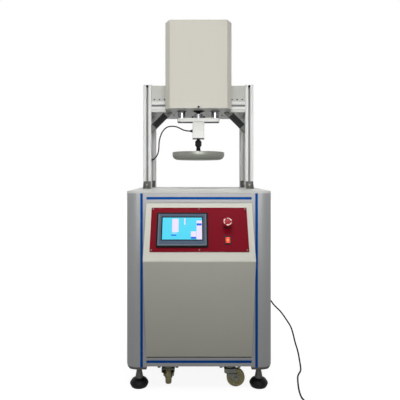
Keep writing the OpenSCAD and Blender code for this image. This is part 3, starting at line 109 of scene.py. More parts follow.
# Blocks on the display: width, height, and distance across and up from its middle, in metres
PALE_BLOCKS = ((0.0255, 0.058, -0.0269, 0.0133), (0.0184, 0.002, -0.0304, -0.020),
               (0.0045, 0.028, 0.010, 0.030), (0.0216, 0.0815, 0.0672, -0.0063),
               (0.0208, 0.0235, 0.0449, -0.0244))
BLUE_BLOCKS = ((0.020, 0.0052, -0.0323, -0.0292), (0.0196, 0.0096, 0.0667, 0.0174),
               (0.0200, 0.0083, 0.0449, -0.0403))

BEZEL_FACE, DISPLAY_FRAME, DISPLAY_SIZE = (0.190, 0.1365), (0.166, 0.105), (0.156, 0.095)
ROCKER_WINDOW = (0.0165, 0.0225)

CAMERA_AT = (-0.0186, -2.1825, 0.884)

# Colours without a setting of their own, as a screen shows them
# SLOT_SHADE is painted shade that darkens the recesses of the gantry's slots
SLOT_SHADE = (0.48, 0.48, 0.48)
BLACK_SCREW = (0.08, 0.08, 0.09)
# The collar's red plastic, darkened as painted shade under the stop's head
COLLAR_RED_AND_SHADE = (0.30, 0.04, 0.07)
LAMP_OFF = (0.05, 0.12, 0.06)
GLASS = (0.01, 0.01, 0.01)
BELT_CASE, MOTOR, DRIVE = (0.20, 0.21, 0.22), (0.11, 0.11, 0.12), (0.16, 0.17, 0.18)
PRONGS = (0.80, 0.76, 0.62)
WHEEL_DIRT = (0.24, 0.23, 0.19)

# Shader colours: the rocker's lens outside its window, its glow there and far from its lamp, and black
LENS_RIM, RIM_GLOW, FAR_GLOW = (0.03, 0.002, 0.002, 1), (0.02, 0, 0, 1), (0.25, 0, 0, 1)
BLACK = (0, 0, 0, 1)


def colour(name, text, red, green, blue):
    """A colour setting, given as the values that a screen shows."""
    return FloatVectorProperty(name=name, description=text, subtype="COLOR_GAMMA", size=3, min=0, max=1,
                               default=(red / 255, green / 255, blue / 255))


def length(name, text, default):
    return FloatProperty(name=name, description=text, default=default, min=0, max=5, unit="LENGTH",
                         subtype="DISTANCE", precision=4)


def number(name, text, default, unit="NONE"):
    return FloatProperty(name=name, description=text, default=default, unit=unit)


class TesterColours(bpy.types.PropertyGroup):
    """Colours of the tester's finishes"""

    post: colour("Cabinet profiles", "Satin anodised corner posts and rails", 168, 169, 170)
    column: colour("Gantry profiles", "Bright anodised columns and beams", 201, 202, 200)
    strip: colour("Slot strips", "Blue cover strips in the slots", 0, 76, 160)
    casting: colour("Die castings", "Brackets and end caps", 100, 100, 97)
    panel: colour("Cabinet panels", "Textured powder coat", 206, 205, 194)
    cover: colour("Head cover", "Satin powder coat", 198, 195, 184)
    plate: colour("Beam plates", "Grey paint", 188, 189, 183)
    table: colour("Table and head plate", "Light grey paint", 205, 206, 202)
    control: colour("Control plate", "Dark red satin paint", 124, 10, 30)
    zinc: colour("Zinc plating", "Forks and caster plates", 126, 128, 122)
    steel: colour("Ground steel", "Rods and the load cell", 176, 178, 181)
    screws: colour("Screws", "Zinc-plated screws and bolts", 128, 125, 121)
    chrome: colour("Hard chrome", "Guide rods", 158, 160, 164)
    oxide: colour("Black oxide", "Couplings, bushings and collars", 10, 12, 18)
    white: colour("White paint", "Crosshead and load cell case", 240, 240, 235)
    # The edge colour is painted shade on the crosshead's sides and underside and on the load cell case's
    # foot
    edge: colour("Painted edge shade", "Painted shade on the crosshead's edges and underside and the case's foot", 92, 93, 92)
    disc: colour("Indenter plate", "Turned grey aluminium", 150, 153, 145)
    black_profile: colour("Black profile", "Black anodised braces", 17, 18, 20)
    bezel: colour("Screen bezel", "Grey-blue plastic", 80, 96, 116)
    # The rim colour is a painted highlight on the bezel's left, right and bottom edges
    rim: colour("Screen rim", "Lighter edge of the bezel's face", 122, 131, 142)
    inner: colour("Display frame", "Darker frame round the display", 66, 72, 86)
    border: colour("Black plastic", "Screen border, rocker bezel and glands", 22, 22, 24)
    screen: colour("Display ground", "Lit background of the display", 84, 212, 240)
    field: colour("Display fields", "Pale blocks on the display", 232, 222, 246)
    bar: colour("Display bars", "Blue bars on the display", 44, 96, 224)
    stop: colour("Stop button", "Glossy red mushroom head", 158, 16, 30)
    lamp: colour("Lit rocker", "Red lens with its lamp on", 250, 52, 36)
    filament: colour("Rocker lamp", "Bright spot behind the rocker's lens", 255, 226, 96)
    nylon: colour("Wheel nylon", "Tan moulded wheels", 160, 154, 114)
    rubber: colour("Rubber", "Foot pads and the plug", 20, 21, 21)
    sheath: colour("Cord sheath", "Black jackets of the cords", 7, 7, 8)
    floor: colour("Floor", "Studio floor", 128, 128, 128)
    # This colour is painted shadow: a dark strip stands where the gap under the front panel is in shade
    gap_shadow: colour("Panel seal", "Dark rubber strip under the front panel, painted gap shadow", 66, 65, 62)


class TesterSizes(bpy.types.PropertyGroup):
    """Sizes of the pieces that this script adds"""

    cell_cable: length("Load cell cable", "Diameter of the load cell's cable", 0.006)
    cord: length("Mains cord", "Diameter of the mains cord", 0.007)
    coil: length("Coil radius", "Radius at the middle of the coil's turns", 0.042)
    coil_lift: length("Coil lift", "Height of the coil above the floor, over its tie", 0.0009)
    tie_width: length("Tie width", "Width of the tie round the coil", 0.012)
    tie_thickness: length("Tie thickness", "Thickness of the tie round the coil", 0.0008)
    arrow_ring: length("Arrow ring", "Radius of the ring of arrows on the stop button", 0.0145)
    arrow_width: length("Arrow width", "Width of an arrow's shaft", 0.0026)
    print_thickness: length("Print thickness", "Thickness of printed marks", 0.00025)
    thread_pitch: length("Thread pitch", "Pitch of the feet's threads", 0.002)


class TesterLight(bpy.types.PropertyGroup):
    """Lamps, surroundings and camera"""

    key: number("Key lamp", "Power of the softbox overhead", 29.0, "POWER")
    head: number("Head lamp", "Power of the gridded softbox that faces the head", 5.0, "POWER")
    side: number("Side lamps", "Power of each gridded softbox at the sides", 2.2, "POWER")
    back: number("Back lamp", "Power of the softbox that faces the back", 50.0, "POWER")
    grid: number("Grid", "Spread of the gridded softboxes' light", math.radians(60), "ROTATION")
    ambient: number("Ambient", "Strength of the light from all round", 0.25)
    room: number("Room", "Brightness of the room that metal reflects", 0.4)
    backdrop: number("Backdrop", "Brightness of what the camera sees", 1.0)
    floor_glow: number("Floor glow", "White that the floor adds for the camera", 0.9)
    lens: number("Lens", "Focal length of the camera in millimetres", 41.85)
    centre_px: number("Optical centre, across", "Pixel column that the camera faces", 194.5)
    horizon_px: number("Optical centre, down", "Pixel row that the camera faces", 175.0)
    picture_px: IntProperty(name="Picture size", description="Width and height of the picture in pixels",
                            default=400)


def linear(screen_colour):
    """The light that a screen colour stands for, as red, green, blue and full opacity."""
    return (*(c / 12.92 if c <= 0.04045 else ((c + 0.055) / 1.055) ** 2.4 for c in screen_colour), 1.0)


class Nodes:
    """Adds nodes to a tree. An input takes a socket or a plain value."""

    def __init__(self, tree):
        self.tree = tree

    def feed(self, socket, value):
        if isinstance(value, bpy.types.NodeSocket):
            self.tree.links.new(value, socket)
        else:
            socket.default_value = value

    def node(self, kind, inputs, **settings):
        made = self.tree.nodes.new(kind)
        for key, value in settings.items():
            setattr(made, key, value)
        for key, value in inputs.items():
            self.feed(made.inputs[key], value)
        return made

    def axes(self, vector):
        return self.node("ShaderNodeSeparateXYZ", {0: vector}).outputs

    def math(self, operation, first, second=0.0, third=0.0):
        return self.node("ShaderNodeMath", {0: first, 1: second, 2: third}, operation=operation).outputs[0]

    def between(self, value, low, high, start=0.0, end=1.0):
        """Goes from low to high while value goes from start to end."""
        made = self.node("ShaderNodeMapRange", {"Value": value, "From Min": start, "From Max": end,
                                                "To Min": low, "To Max": high})
        return made.outputs[0]

    def shown(self, direct, mirrored):
        """A background's strength: one for the camera, one for what metal and glass show of it."""
        path = self.node("ShaderNodeLightPath", {}).outputs
        to_metal = self.math("MAXIMUM", path["Is Glossy Ray"], path["Is Transmission Ray"])
        seen = self.math("MULTIPLY", path["Is Camera Ray"], direct)
        return self.math("MAXIMUM", seen, self.math("MULTIPLY", to_metal, mirrored))


class Finish(Nodes):
    """A material in the making: its shader, and the nodes that feed it."""

    def __init__(self, name, screen_colour, roughness, metallic=0.0, **numbers):
        self.material = bpy.data.materials.new(name)
        self.material.use_nodes = True
        super().__init__(self.material.node_tree)
        self.shader = self.tree.nodes["Principled BSDF"]
        self.colour = linear(screen_colour)
        self.roughness = roughness
        settings = {"Base_Color": self.colour, "Roughness": roughness, "Metallic": metallic,
                    "Specular_IOR_Level": 0.22, **numbers}
        for key, value in settings.items():
            self.shader.inputs[key.replace("_", " ")].default_value = value

    def place(self, stretch=(1, 1, 1)):
        """Object coordinates, stretched."""
        point = self.node("ShaderNodeTexCoord", {}).outputs["Object"]
        return self.node("ShaderNodeMapping", {"Vector": point, "Scale": stretch}).outputs[0]

    def seen_from(self, origin, turn=(0, 0, 0)):
        """Object coordinates as measured in a frame that lies at origin and is turned."""
        point = self.node("ShaderNodeTexCoord", {}).outputs["Object"]
        made = self.node("ShaderNodeMapping", {"Vector": point, "Location": origin, "Rotation": turn},
                         vector_type="TEXTURE")
        return made.outputs[0]

    def on_desk(self, across, up):
        """Coordinates on the desk's slope, from a point that many metres across and up it."""
        return self.axes(self.seen_from(desk_matrix(across, up).translation, (DESK_TURN, 0, 0)))

    def noise(self, scale, detail=2.0, stretch=(1, 1, 1)):
        inputs = {"Vector": self.place(stretch), "Scale": scale, "Detail": detail}
        return self.node("ShaderNodeTexNoise", inputs).outputs[0]

    def mix(self, factor, first, second):
        made = self.node("ShaderNodeMix", {0: factor, 6: first, 7: second}, data_type="RGBA")
        return made.outputs[2]

    def distance(self, x, y):
        squares = self.math("ADD", self.math("MULTIPLY", x, x), self.math("MULTIPLY", y, y))
        return self.math("SQRT", squares)

    def box(self, x, y, width, height, across=0.0, up=0.0):
        """1 inside a rectangle about (across, up)."""
        inside_x = self.math("COMPARE", x, across, width / 2)
        inside_y = self.math("COMPARE", y, up, height / 2)
        return self.math("MULTIPLY", inside_x, inside_y)

    def shade(self, factor, amount, base=None):
        """The base colour, darker or lighter by a share as factor goes from 0 to 1."""
        base = (base or self.colour)[:3]
        dark, light = ((*(min(1.0, c * share) for c in base), 1.0) for share in (1 - amount, 1 + amount))
        return self.mix(factor, dark, light)

    def tint(self, value):
        self.feed(self.shader.inputs["Base Color"], value)

    def gloss(self, value):
        self.feed(self.shader.inputs["Roughness"], value)

    def glow(self, value, strength):
        self.feed(self.shader.inputs["Emission Color"], value)
        self.shader.inputs["Emission Strength"].default_value = strength

    def current(self, name):
        """What feeds one of the shader's inputs: the linked socket, or else the value."""
        socket = self.shader.inputs[name]
        return socket.links[0].from_socket if socket.links else socket.default_value

    def bump(self, height, distance):
        """Raises the surface by height times distance, on top of what is there."""
        inputs = {"Height": height, "Distance": distance}
        if self.shader.inputs["Normal"].links:
            inputs["Normal"] = self.current("Normal")
        self.feed(self.shader.inputs["Normal"], self.node("ShaderNodeBump", inputs).outputs[0])

    def drift(self, scale, detail, amount):
        """Lets the tone wander by a share."""
        self.tint(self.shade(self.noise(scale, detail), amount))

    def grain(self, scale, detail, height):
        self.bump(self.noise(scale, detail), height)

    def vary_gloss(self, value, low, high):
        """Moves the roughness from low to high over the middle of a noise's range."""
        self.gloss(self.between(value, low, high, 0.3, 0.7))

    def handled(self):
        """Faint smears that make the gloss uneven."""
        self.vary_gloss(self.noise(14.0, 4.0), self.roughness - 0.06, self.roughness + 0.06)


def desk_matrix(across, up, lift=0.0):
    """A frame on the desk's slope: X to the right, Y up the slope, Z outwards."""
    turn = Matrix.Rotation(DESK_TURN, 4, "X")
    return Matrix.Translation(DESK_TOP) @ turn @ Matrix.Translation((across, up, lift))


def powder_coat(name, paint, roughness=0.42):
    """Baked powder paint: a fine orange peel, and a tone that drifts a little."""
    made = Finish(name, paint, roughness)
    made.drift(3.5, 3.0, 0.035)
    made.grain(650.0, 1.0, 0.00006)
    made.handled()
    return made


def satin_paint(name, paint, roughness=0.32, **numbers):
    made = Finish(name, paint, roughness, **numbers)
    made.drift(5.0, 3.0, 0.03)
    made.grain(240.0, 2.0, 0.00003)
    made.handled()
    return made


def drawn_lines(made, along):
    """Fine lines that run along one axis of the extrusion."""
    return made.noise(1.0, 2.0, [2.5 if axis == along else 900.0 for axis in "XYZ"])


def extrusion(name, metal, roughness, metallic, along="Z", end=None):
    """Anodised profile with drawing lines along one axis.

    With an end, the lines run along X up to that distance on either side, and along Y past it.
    """
    made = Finish(name, metal, roughness, metallic)
    if end:
        at_side = made.math("GREATER_THAN", made.math("ABSOLUTE", made.axes(made.place())[0]), end)
        lines = made.axes(made.mix(at_side, drawn_lines(made, "X"), drawn_lines(made, "Y")))[0]
    else:
        lines = drawn_lines(made, along)
    both = made.math("MULTIPLY_ADD", lines, 0.6, made.math("MULTIPLY", made.noise(4.0, 3.0), 0.4))
    made.tint(made.shade(both, 0.09))
    made.vary_gloss(both, roughness - 0.07, roughness + 0.08)
    made.bump(lines, 0.00004)
    return made


def slots(made, end=None):
    """1 in the slots of the gantry's columns or, with the end of the beams along X, of its beams: the mask
    for painted shade in their recesses.
    """
    x, y, z = made.axes(made.place())
    x = made.math("ABSOLUTE", x)
    beside_x = made.math("COMPARE", x, COLUMN_X, HALF_SLOT)
    from_middle = made.math("ABSOLUTE", made.math("SUBTRACT", y, GANTRY_Y))
    beside_y = made.math("COMPARE", from_middle, GANTRY_HALF_DEPTH, HALF_SLOT)
    if end is None:
        below_end = made.math("LESS_THAN", z, COLUMN_TOP - 0.0002)
        return made.math("MULTIPLY", made.math("MAXIMUM", beside_x, beside_y), below_end)
    at_side = made.math("GREATER_THAN", x, end)
    over = made.math("MULTIPLY", at_side, beside_x)
    across = made.math("MULTIPLY", made.math("SUBTRACT", 1.0, at_side), beside_y)
    on_face = made.math("COMPARE", z, BEAM_MIDDLE, HALF_SLOT)
    return made.math("MAXIMUM", on_face, made.math("MAXIMUM", over, across))


def casting(name, metal):
    """Die-cast zinc with a fine sandy skin and brighter high spots."""
    made = Finish(name, metal, 0.55, 0.6)
    sand = made.noise(420.0, 3.0)
    made.drift(30.0, 4.0, 0.16)
    made.vary_gloss(sand, 0.42, 0.66)
    made.bump(sand, 0.00018)
    return made


def zinc_plate(name, metal, roughness=0.34):
    """Zinc plating: cloudy, with faint yellow and blue passivation."""
    made = Finish(name, metal, roughness, 0.85)
    cloud = made.noise(55.0, 4.0)
    warm, cool = (tuple(c * k for c, k in zip(made.colour, shares))
                  for shares in ((1.10, 1.04, 0.86, 1), (0.84, 0.90, 0.98, 1)))
    made.tint(made.mix(made.between(cloud, 0.0, 1.0, 0.35, 0.65), warm, cool))
    made.vary_gloss(cloud, roughness - 0.08, roughness + 0.12)
    made.grain(800.0, 1.0, 0.00003)
    return made


def ground_steel(name, metal, roughness, metallic=1.0, around="Z"):
    """Turned or ground steel: lines that run round the part's axis."""
    made = Finish(name, metal, roughness, metallic)
    lines = made.noise(1.0, 2.0, [2600.0 if axis == around else 25.0 for axis in "XYZ"])
    made.tint(made.shade(lines, 0.06))
    made.vary_gloss(lines, roughness * 0.7, roughness * 1.4)
    made.bump(lines, 0.00001)
    return made


def moulded(name, plastic, roughness=0.45, grain=900.0, **numbers):
    """Injection-moulded plastic with a fine spark-eroded grain."""
    made = Finish(name, plastic, roughness, **numbers)
    skin = made.noise(grain)
    made.drift(18.0, 2.0, 0.05)
    made.vary_gloss(skin, roughness - 0.05, roughness + 0.07)
    made.bump(skin, 0.00004)
    return made


def rubber(name, compound, roughness=0.62):
    """Matte rubber with a dusty bloom."""
    made = Finish(name, compound, roughness)
    bloom = made.noise(40.0, 5.0)
    grey = (*(min(1.0, c * 1.9 + 0.004) for c in made.colour[:3]), 1.0)
    made.tint(made.mix(made.between(bloom, 0.0, 0.5, 0.45, 0.8), made.colour, grey))
    made.vary_gloss(bloom, roughness - 0.1, roughness + 0.08)
    made.grain(700.0, 3.0, 0.00006)
    return made


def two_tone(made, mask, second, metallic=None, roughness=None):
    """A second finish where mask is 1, such as a metal stud in a plastic body."""
    made.tint(made.mix(mask, made.current("Base Color"), linear(second)))
    if metallic is not None:
        made.feed(made.shader.inputs["Metallic"], made.between(mask, made.current("Metallic"), metallic))
    if roughness is not None:
        blend = made.node("ShaderNodeMix", {0: mask, 2: made.current("Roughness"), 3: roughness},
                          data_type="FLOAT")
        made.gloss(blend.outputs[0])
    return made


def above(made, level):
    """1 where Z is over level."""
    return made.math("GREATER_THAN", made.axes(made.place())[2], level)


def dress(finish, *nodes):
    """Gives CAD nodes a finish through their objects' own slots."""
    for name in nodes:
        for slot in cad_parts[name].material_slots:
            slot.link = "OBJECT"
            slot.material = finish.material


def closed_mesh(name, shape):
    """Makes the mesh of a bmesh: doubles merged, faces turned outwards."""
    bmesh.ops.remove_doubles(shape, verts=shape.verts, dist=1e-6)
    bmesh.ops.recalc_face_normals(shape, faces=shape.faces)
    mesh = bpy.data.meshes.new(name)
    shape.to_mesh(mesh)
    shape.free()
    return mesh


def add_piece(name, form, finish, body=None, smooth=True):
    """Puts a finished bmesh, mesh or curve in the scene, on its body."""
    if isinstance(form, bmesh.types.BMesh):
        form = closed_mesh(name, form)
    piece = bpy.data.objects.new(name, form)
    bpy.context.scene.collection.objects.link(piece)
    piece.data.materials.append(finish.material)
    if piece.type == "MESH":
        for face in piece.data.polygons:
            face.use_smooth = smooth
    if body:
        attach(piece, body)
    return piece


def block(size, middle=(0, 0, 0)):
    shape = bmesh.new()
    bmesh.ops.create_cube(shape, size=1.0)
    bmesh.ops.scale(shape, vec=size, verts=shape.verts)
    bmesh.ops.translate(shape, verts=shape.verts, vec=middle)
    return shape


def rounded(shape, edges, radius, steps):
    bmesh.ops.bevel(shape, geom=edges, offset=radius, segments=steps, profile=0.5, affect="EDGES",
                    material=-1)


def smooth_route(points, steps):
    """A dense line through the points, as Vectors in metres."""
    points = [Vector(p) * MM for p in points]
    line = []
    for i in range(len(points) - 1):
        a, b = points[max(i - 1, 0)], points[i]
        c, d = points[i + 1], points[min(i + 2, len(points) - 1)]
        for k in range(steps):
            t = k / steps
            line.append(0.5 * (2 * b + (c - a) * t + (2 * a - 5 * b + 4 * c - d) * t * t
                               + (3 * b - a - 3 * c + d) * t ** 3))
    return line + [points[-1]]


def cord_curve(name, line, diameter, sides=3):
    """A round cord along a line of points, as a curve of one open spline."""
    curve = bpy.data.curves.new(name, "CURVE")
    curve.dimensions = "3D"
    curve.bevel_depth = diameter / 2
    curve.bevel_resolution = sides
    curve.use_fill_caps = True
    spline = curve.splines.new("POLY")
    spline.points.add(len(line) - 1)
    for point, place in zip(spline.points, line):
        point.co = (*place, 1.0)
    spline.use_smooth = True
    return curve


def turned(shape, outline, place, steps=32):
    """Spins an outline of (radius, height) points round the Z axis of a place."""
    verts = [shape.verts.new((r, 0, z)) for r, z in outline]
    edges = [shape.edges.new(pair) for pair in zip(verts, verts[1:])]
    bmesh.ops.spin(shape, geom=verts + edges, cent=(0, 0, 0), axis=(0, 0, 1), angle=math.tau, steps=steps,
                   use_merge=True)
    # Tagged verts are from an earlier outline, and already in their place
    made = [v for v in shape.verts if not v.tag]
    bmesh.ops.transform(shape, matrix=place, verts=made)
    for v in shape.verts:
        v.tag = True


def ease(t):
    t = min(max(t, 0.0), 1.0)
    return t * t * (3 - 2 * t)


def coil_line(sizes, start_angle, exit_angle):
    """The wound cord: three turns inwards on the floor, then outwards on top of them to the plug."""
    d = sizes.cord
    lanes = [sizes.coil + d, sizes.coil, sizes.coil - d, sizes.coil - d, sizes.coil, sizes.coil + d]
    low = sizes.coil_lift + d / 2 + 0.0001
    per_turn = 48
    turns = 5 + ((start_angle - exit_angle) % math.tau) / math.tau
    # Shares of a turn in which the top lanes step out, the third turn climbs, and the low lanes step in
    top_step, climb, low_step = (0.48, 0.64), (0.65, 0.82), (0.83, 0.99)
    line = []
    count = round(per_turn * turns)
    for i in range(count + 1):
        done = turns * i / count
        turn = min(int(done), 5)
        share = done - turn
        following = lanes[min(turn + 1, 5)]
        first, last = (top_step if turn > 2 else low_step) if turn != 2 else climb
        eased = ease((share - first) / (last - first))
        radius = lanes[turn] + (following - lanes[turn]) * eased
        height = low + d * (eased if turn == 2 else turn > 2)
        angle = start_angle - done * math.tau
        line.append(COIL_MIDDLE + Vector((radius * math.cos(angle), radius * math.sin(angle), height)))
    return line


def draped(shape, node, place, thickness):
    """Lays flat marks, drawn in the place's XY plane, on a CAD node and gives them thickness."""
    solid = bmesh.new()
    solid.from_mesh(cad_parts[node].data)
    tree = BVHTree.FromBMesh(solid)
    solid.free()
    outwards = (place.to_3x3() @ Vector((0, 0, 1))).normalized()
    reach = 0.03
    for v in shape.verts:
        start = place @ v.co + outwards * reach
        hit = tree.ray_cast(start, -outwards, 2 * reach)
        v.co = hit[0] + outwards * thickness
    raised = bmesh.ops.extrude_face_region(shape, geom=shape.faces[:])
    moved = [v for v in raised["geom"] if isinstance(v, bmesh.types.BMVert)]
    # The back goes past the surface, so that no gap shows under the marks
    bmesh.ops.translate(shape, verts=moved, vec=-outwards * 1.6 * thickness)


class TESTER_OT_stage(bpy.types.Operator):
    """Floor, surroundings, lamps and camera"""

    bl_idname = "tester.stage"
    bl_label = "Stage"

    def execute(self, context):
        light = context.scene.tester_light
        context.scene.view_settings.view_transform = "Standard"
        self.surroundings(context, light)
        self.floor(context.scene.tester_colours.floor, light)
        self.lamp(context, "key_lamp", light.key, (1.8, 1.0), (-0.2, -1.15, 3.0), (0, 0, 0.9))
        self.lamp(context, "head_lamp", light.head, (1.6, 0.6), (0.1, -2.9, 1.3), (0, 0, 1.15), light.grid)
        for name, x in (("left_lamp", -2.8), ("right_lamp", 2.8)):
            self.lamp(context, name, light.side, (0.8, 1.2), (x, -0.6, 1.4), (0, 0, 1.25), light.grid,
                      hidden_from=("glossy",))
        self.lamp(context, "back_lamp", light.back, (2.6, 0.8), (0.9, 3.6, 1.6), (0, 0, 0.8),
                  hidden_from=("camera", "glossy"))
        self.camera(context, light)
        return {"FINISHED"}

    def surroundings(self, context, light):
        """A white sweep behind the machine, a greyer room elsewhere, and even light from all round."""
        world = bpy.data.worlds.new("studio")
        context.scene.world = world
        world.use_nodes = True
        made = Nodes(world.node_tree)
        sky = made.tree.nodes["Background"].inputs
        sky["Color"].default_value = (1, 1, 1, 1)
        direction = made.node("ShaderNodeTexCoord", {}).outputs["Generated"]
        sweep = made.between(made.axes(direction)["Y"], light.room, light.backdrop, 0.1, 0.6)
        made.feed(sky["Strength"], made.math("MAXIMUM", made.shown(light.backdrop, sweep), light.ambient))

    def floor(self, grey, light):
        """A grey floor that carries the shadow, with a white glow for the camera."""
        made = Finish("studio_floor", grey, 0.9)
        made.drift(2.0, 2.0, 0.01)
        x, y, _ = made.axes(made.place())
        direct = made.between(made.distance(x, y), light.floor_glow, light.backdrop, 1.0, 3.5)
        glow = made.node("ShaderNodeEmission", {"Strength": made.shown(direct, light.room)}).outputs[0]
        total = made.node("ShaderNodeAddShader", {0: made.shader.outputs[0], 1: glow}).outputs[0]
        made.feed(made.tree.nodes["Material Output"].inputs["Surface"], total)
        shape = bmesh.new()
        bmesh.ops.create_grid(shape, x_segments=1, y_segments=1, size=14.0)
        add_piece("floor", shape, made)

    def lamp(self, context, name, power, size, place, aim, spread=None, hidden_from=()):
        data = bpy.data.lights.new(name, "AREA")
        data.shape = "RECTANGLE"
        data.size, data.size_y = size
        data.energy = power
        if spread:
            data.spread = spread
        lamp = bpy.data.objects.new(name, data)
        lamp.location = place
        lamp.rotation_euler = (Vector(aim) - Vector(place)).to_track_quat("-Z", "Y").to_euler()
        for rays in hidden_from:
            setattr(lamp, f"visible_{rays}", False)
        context.scene.collection.objects.link(lamp)

    def camera(self, context, light):
        data = bpy.data.cameras.new("camera")
        data.lens = light.lens
        data.shift_x = 0.5 - light.centre_px / light.picture_px
        data.shift_y = light.horizon_px / light.picture_px - 0.5
        camera = bpy.data.objects.new("camera", data)
        camera.location = CAMERA_AT
        camera.rotation_euler = (math.radians(90), 0, 0)
        context.scene.collection.objects.link(camera)
        context.scene.camera = camera


class TESTER_OT_mains_cord(bpy.types.Operator):
    """Mains cord from its gland through its coil to the plug, with the tie and the gland's relief ribs"""

    bl_idname = "tester.mains_cord"
    bl_label = "Mains cord"

    def execute(self, context):
        sizes = context.scene.tester_sizes
        colours = context.scene.tester_colours
        black = moulded("cord_rubber", colours.sheath, 0.5, Specular_IOR_Level=0.1)
        line = self.route(sizes)
        cord = add_piece("mains_cord", cord_curve("mains_cord", line, sizes.cord), black, "frame")
        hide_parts("power_cord", "cord_coil")
        tie = self.tie(sizes, colours)
        ribs = self.relief_ribs(sizes, colours)
        return {"FINISHED"}

    def route(self, sizes):
        """The listed stretch, a glide into the outer lane, the turns, and a straight end in the plug."""
        laid = smooth_route(POWER_ROUTE, 3)
        first = laid[-1] - COIL_MIDDLE
        start_angle = math.atan2(first.y, first.x)
        lane = sizes.coil + sizes.cord
        glide_end = start_angle - math.radians(40)
        coil = coil_line(sizes, glide_end, math.radians(-90))
        glide = []
        steps = 9
        outside = math.hypot(first.x, first.y)
        for i in range(1, steps):
            t = i / steps
            angle = start_angle + (glide_end - start_angle) * t
            radius = lane + (outside - lane) * (1 - t) ** 2
            height = laid[-1].z + (coil[0].z - laid[-1].z) * ease(t)
            glide.append(COIL_MIDDLE + Vector((radius * math.cos(angle), radius * math.sin(angle), height)))
        leave = coil[-1]
        end = PLUG_NECK - Vector((0.003, 0, 0))
        steps = 6
        tail = [leave.lerp(end, i / steps) for i in range(1, steps + 1)]
        for i, p in enumerate(tail):
            p.z = leave.z + (end.z - leave.z) * ease((i + 1) / steps)
        return laid + glide + coil + tail

    def tie(self, sizes, colours):
        """A flat strap round the bundle, on the side away from the plug."""
        t = sizes.tie_thickness
        tall = 2 * sizes.cord + 2 * t
        shape = block((3 * sizes.cord + 2 * t, sizes.tie_width, tall))
        ends = [f for f in shape.faces if abs(f.normal.y) > 0.5]
        bmesh.ops.delete(shape, geom=ends, context="FACES_ONLY")
        half = sizes.tie_width / 2
        rounded(shape, [e for e in shape.edges if abs(e.verts[0].co.y - e.verts[1].co.y) > half], 0.0028, 5)
        bmesh.ops.recalc_face_normals(shape, faces=shape.faces)
        bmesh.ops.solidify(shape, geom=shape.faces[:], thickness=t)
        tail = block((0.016, sizes.tie_width * 0.9, t), (-0.002, 0, (tall + t) / 2))
        overlap = bpy.data.meshes.new("tie_tail")
        tail.to_mesh(overlap)
        tail.free()
        shape.from_mesh(overlap)
        bpy.data.meshes.remove(overlap)
        bmesh.ops.translate(shape, verts=shape.verts, vec=(sizes.coil, 0, tall / 2 + 0.0001))
        turn = Matrix.Translation(COIL_MIDDLE) @ Matrix.Rotation(math.radians(-38), 4, "Z")
        bmesh.ops.transform(shape, matrix=turn, verts=shape.verts)
        finish = moulded("tie_strap", colours.border, 0.7, 1500.0)
        finish.bump(finish.noise(3.0, 1.0, (400, 400, 400)), 0.0002)
        return add_piece("cord_tie", shape, finish, "frame", False)

    def relief_ribs(self, sizes, colours):
        """Flexing ribs round the gland's tapered sleeve."""
        shape = bmesh.new()
        first, pitch, count = 0.3085, 0.0028, 5
        widest, taper = 0.0064, 0.00042
        lie_along_x = Matrix.Rotation(math.radians(90), 4, "Y")
        for k in range(count):
            r = widest - taper * k
            place = Matrix.Translation((first + pitch * k, CORD_EXIT.y, CORD_EXIT.z)) @ lie_along_x
            turned(shape, [(r - 0.001, 0), (r, 0.0002), (r + 0.0002, 0.0007), (r, 0.0012),
                           (r - 0.001, 0.0014), (r - 0.001, 0)], place, 28)
        finish = moulded("relief_rubber", colours.border, 0.5)
        return add_piece("relief_ribs", shape, finish, "frame")


class TESTER_OT_cell_cable(bpy.types.Operator):
    """Load cell cable between the case's gland and the clip on the column"""

    bl_idname = "tester.cell_cable"
    bl_label = "Load cell cable"

    def execute(self, context):
        sizes = context.scene.tester_sizes
        colours = context.scene.tester_colours
        line = smooth_route(CELL_ROUTE, 4)
        curve = cord_curve("cell_cable_line", line, sizes.cell_cable, 4)
        model = bpy.data.objects.new("cell_cable_line", curve)
        context.scene.collection.objects.link(model)
        mesh = bpy.data.meshes.new_from_object(model.evaluated_get(context.evaluated_depsgraph_get()))
        bpy.data.objects.remove(model)
        sheath = moulded("cable_sheath", colours.sheath, 0.5, Specular_IOR_Level=0.1)
        cable = add_piece("cell_cable", mesh, sheath)
        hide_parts("load_cell_cable")
        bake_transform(cable)
        return {"FINISHED"}


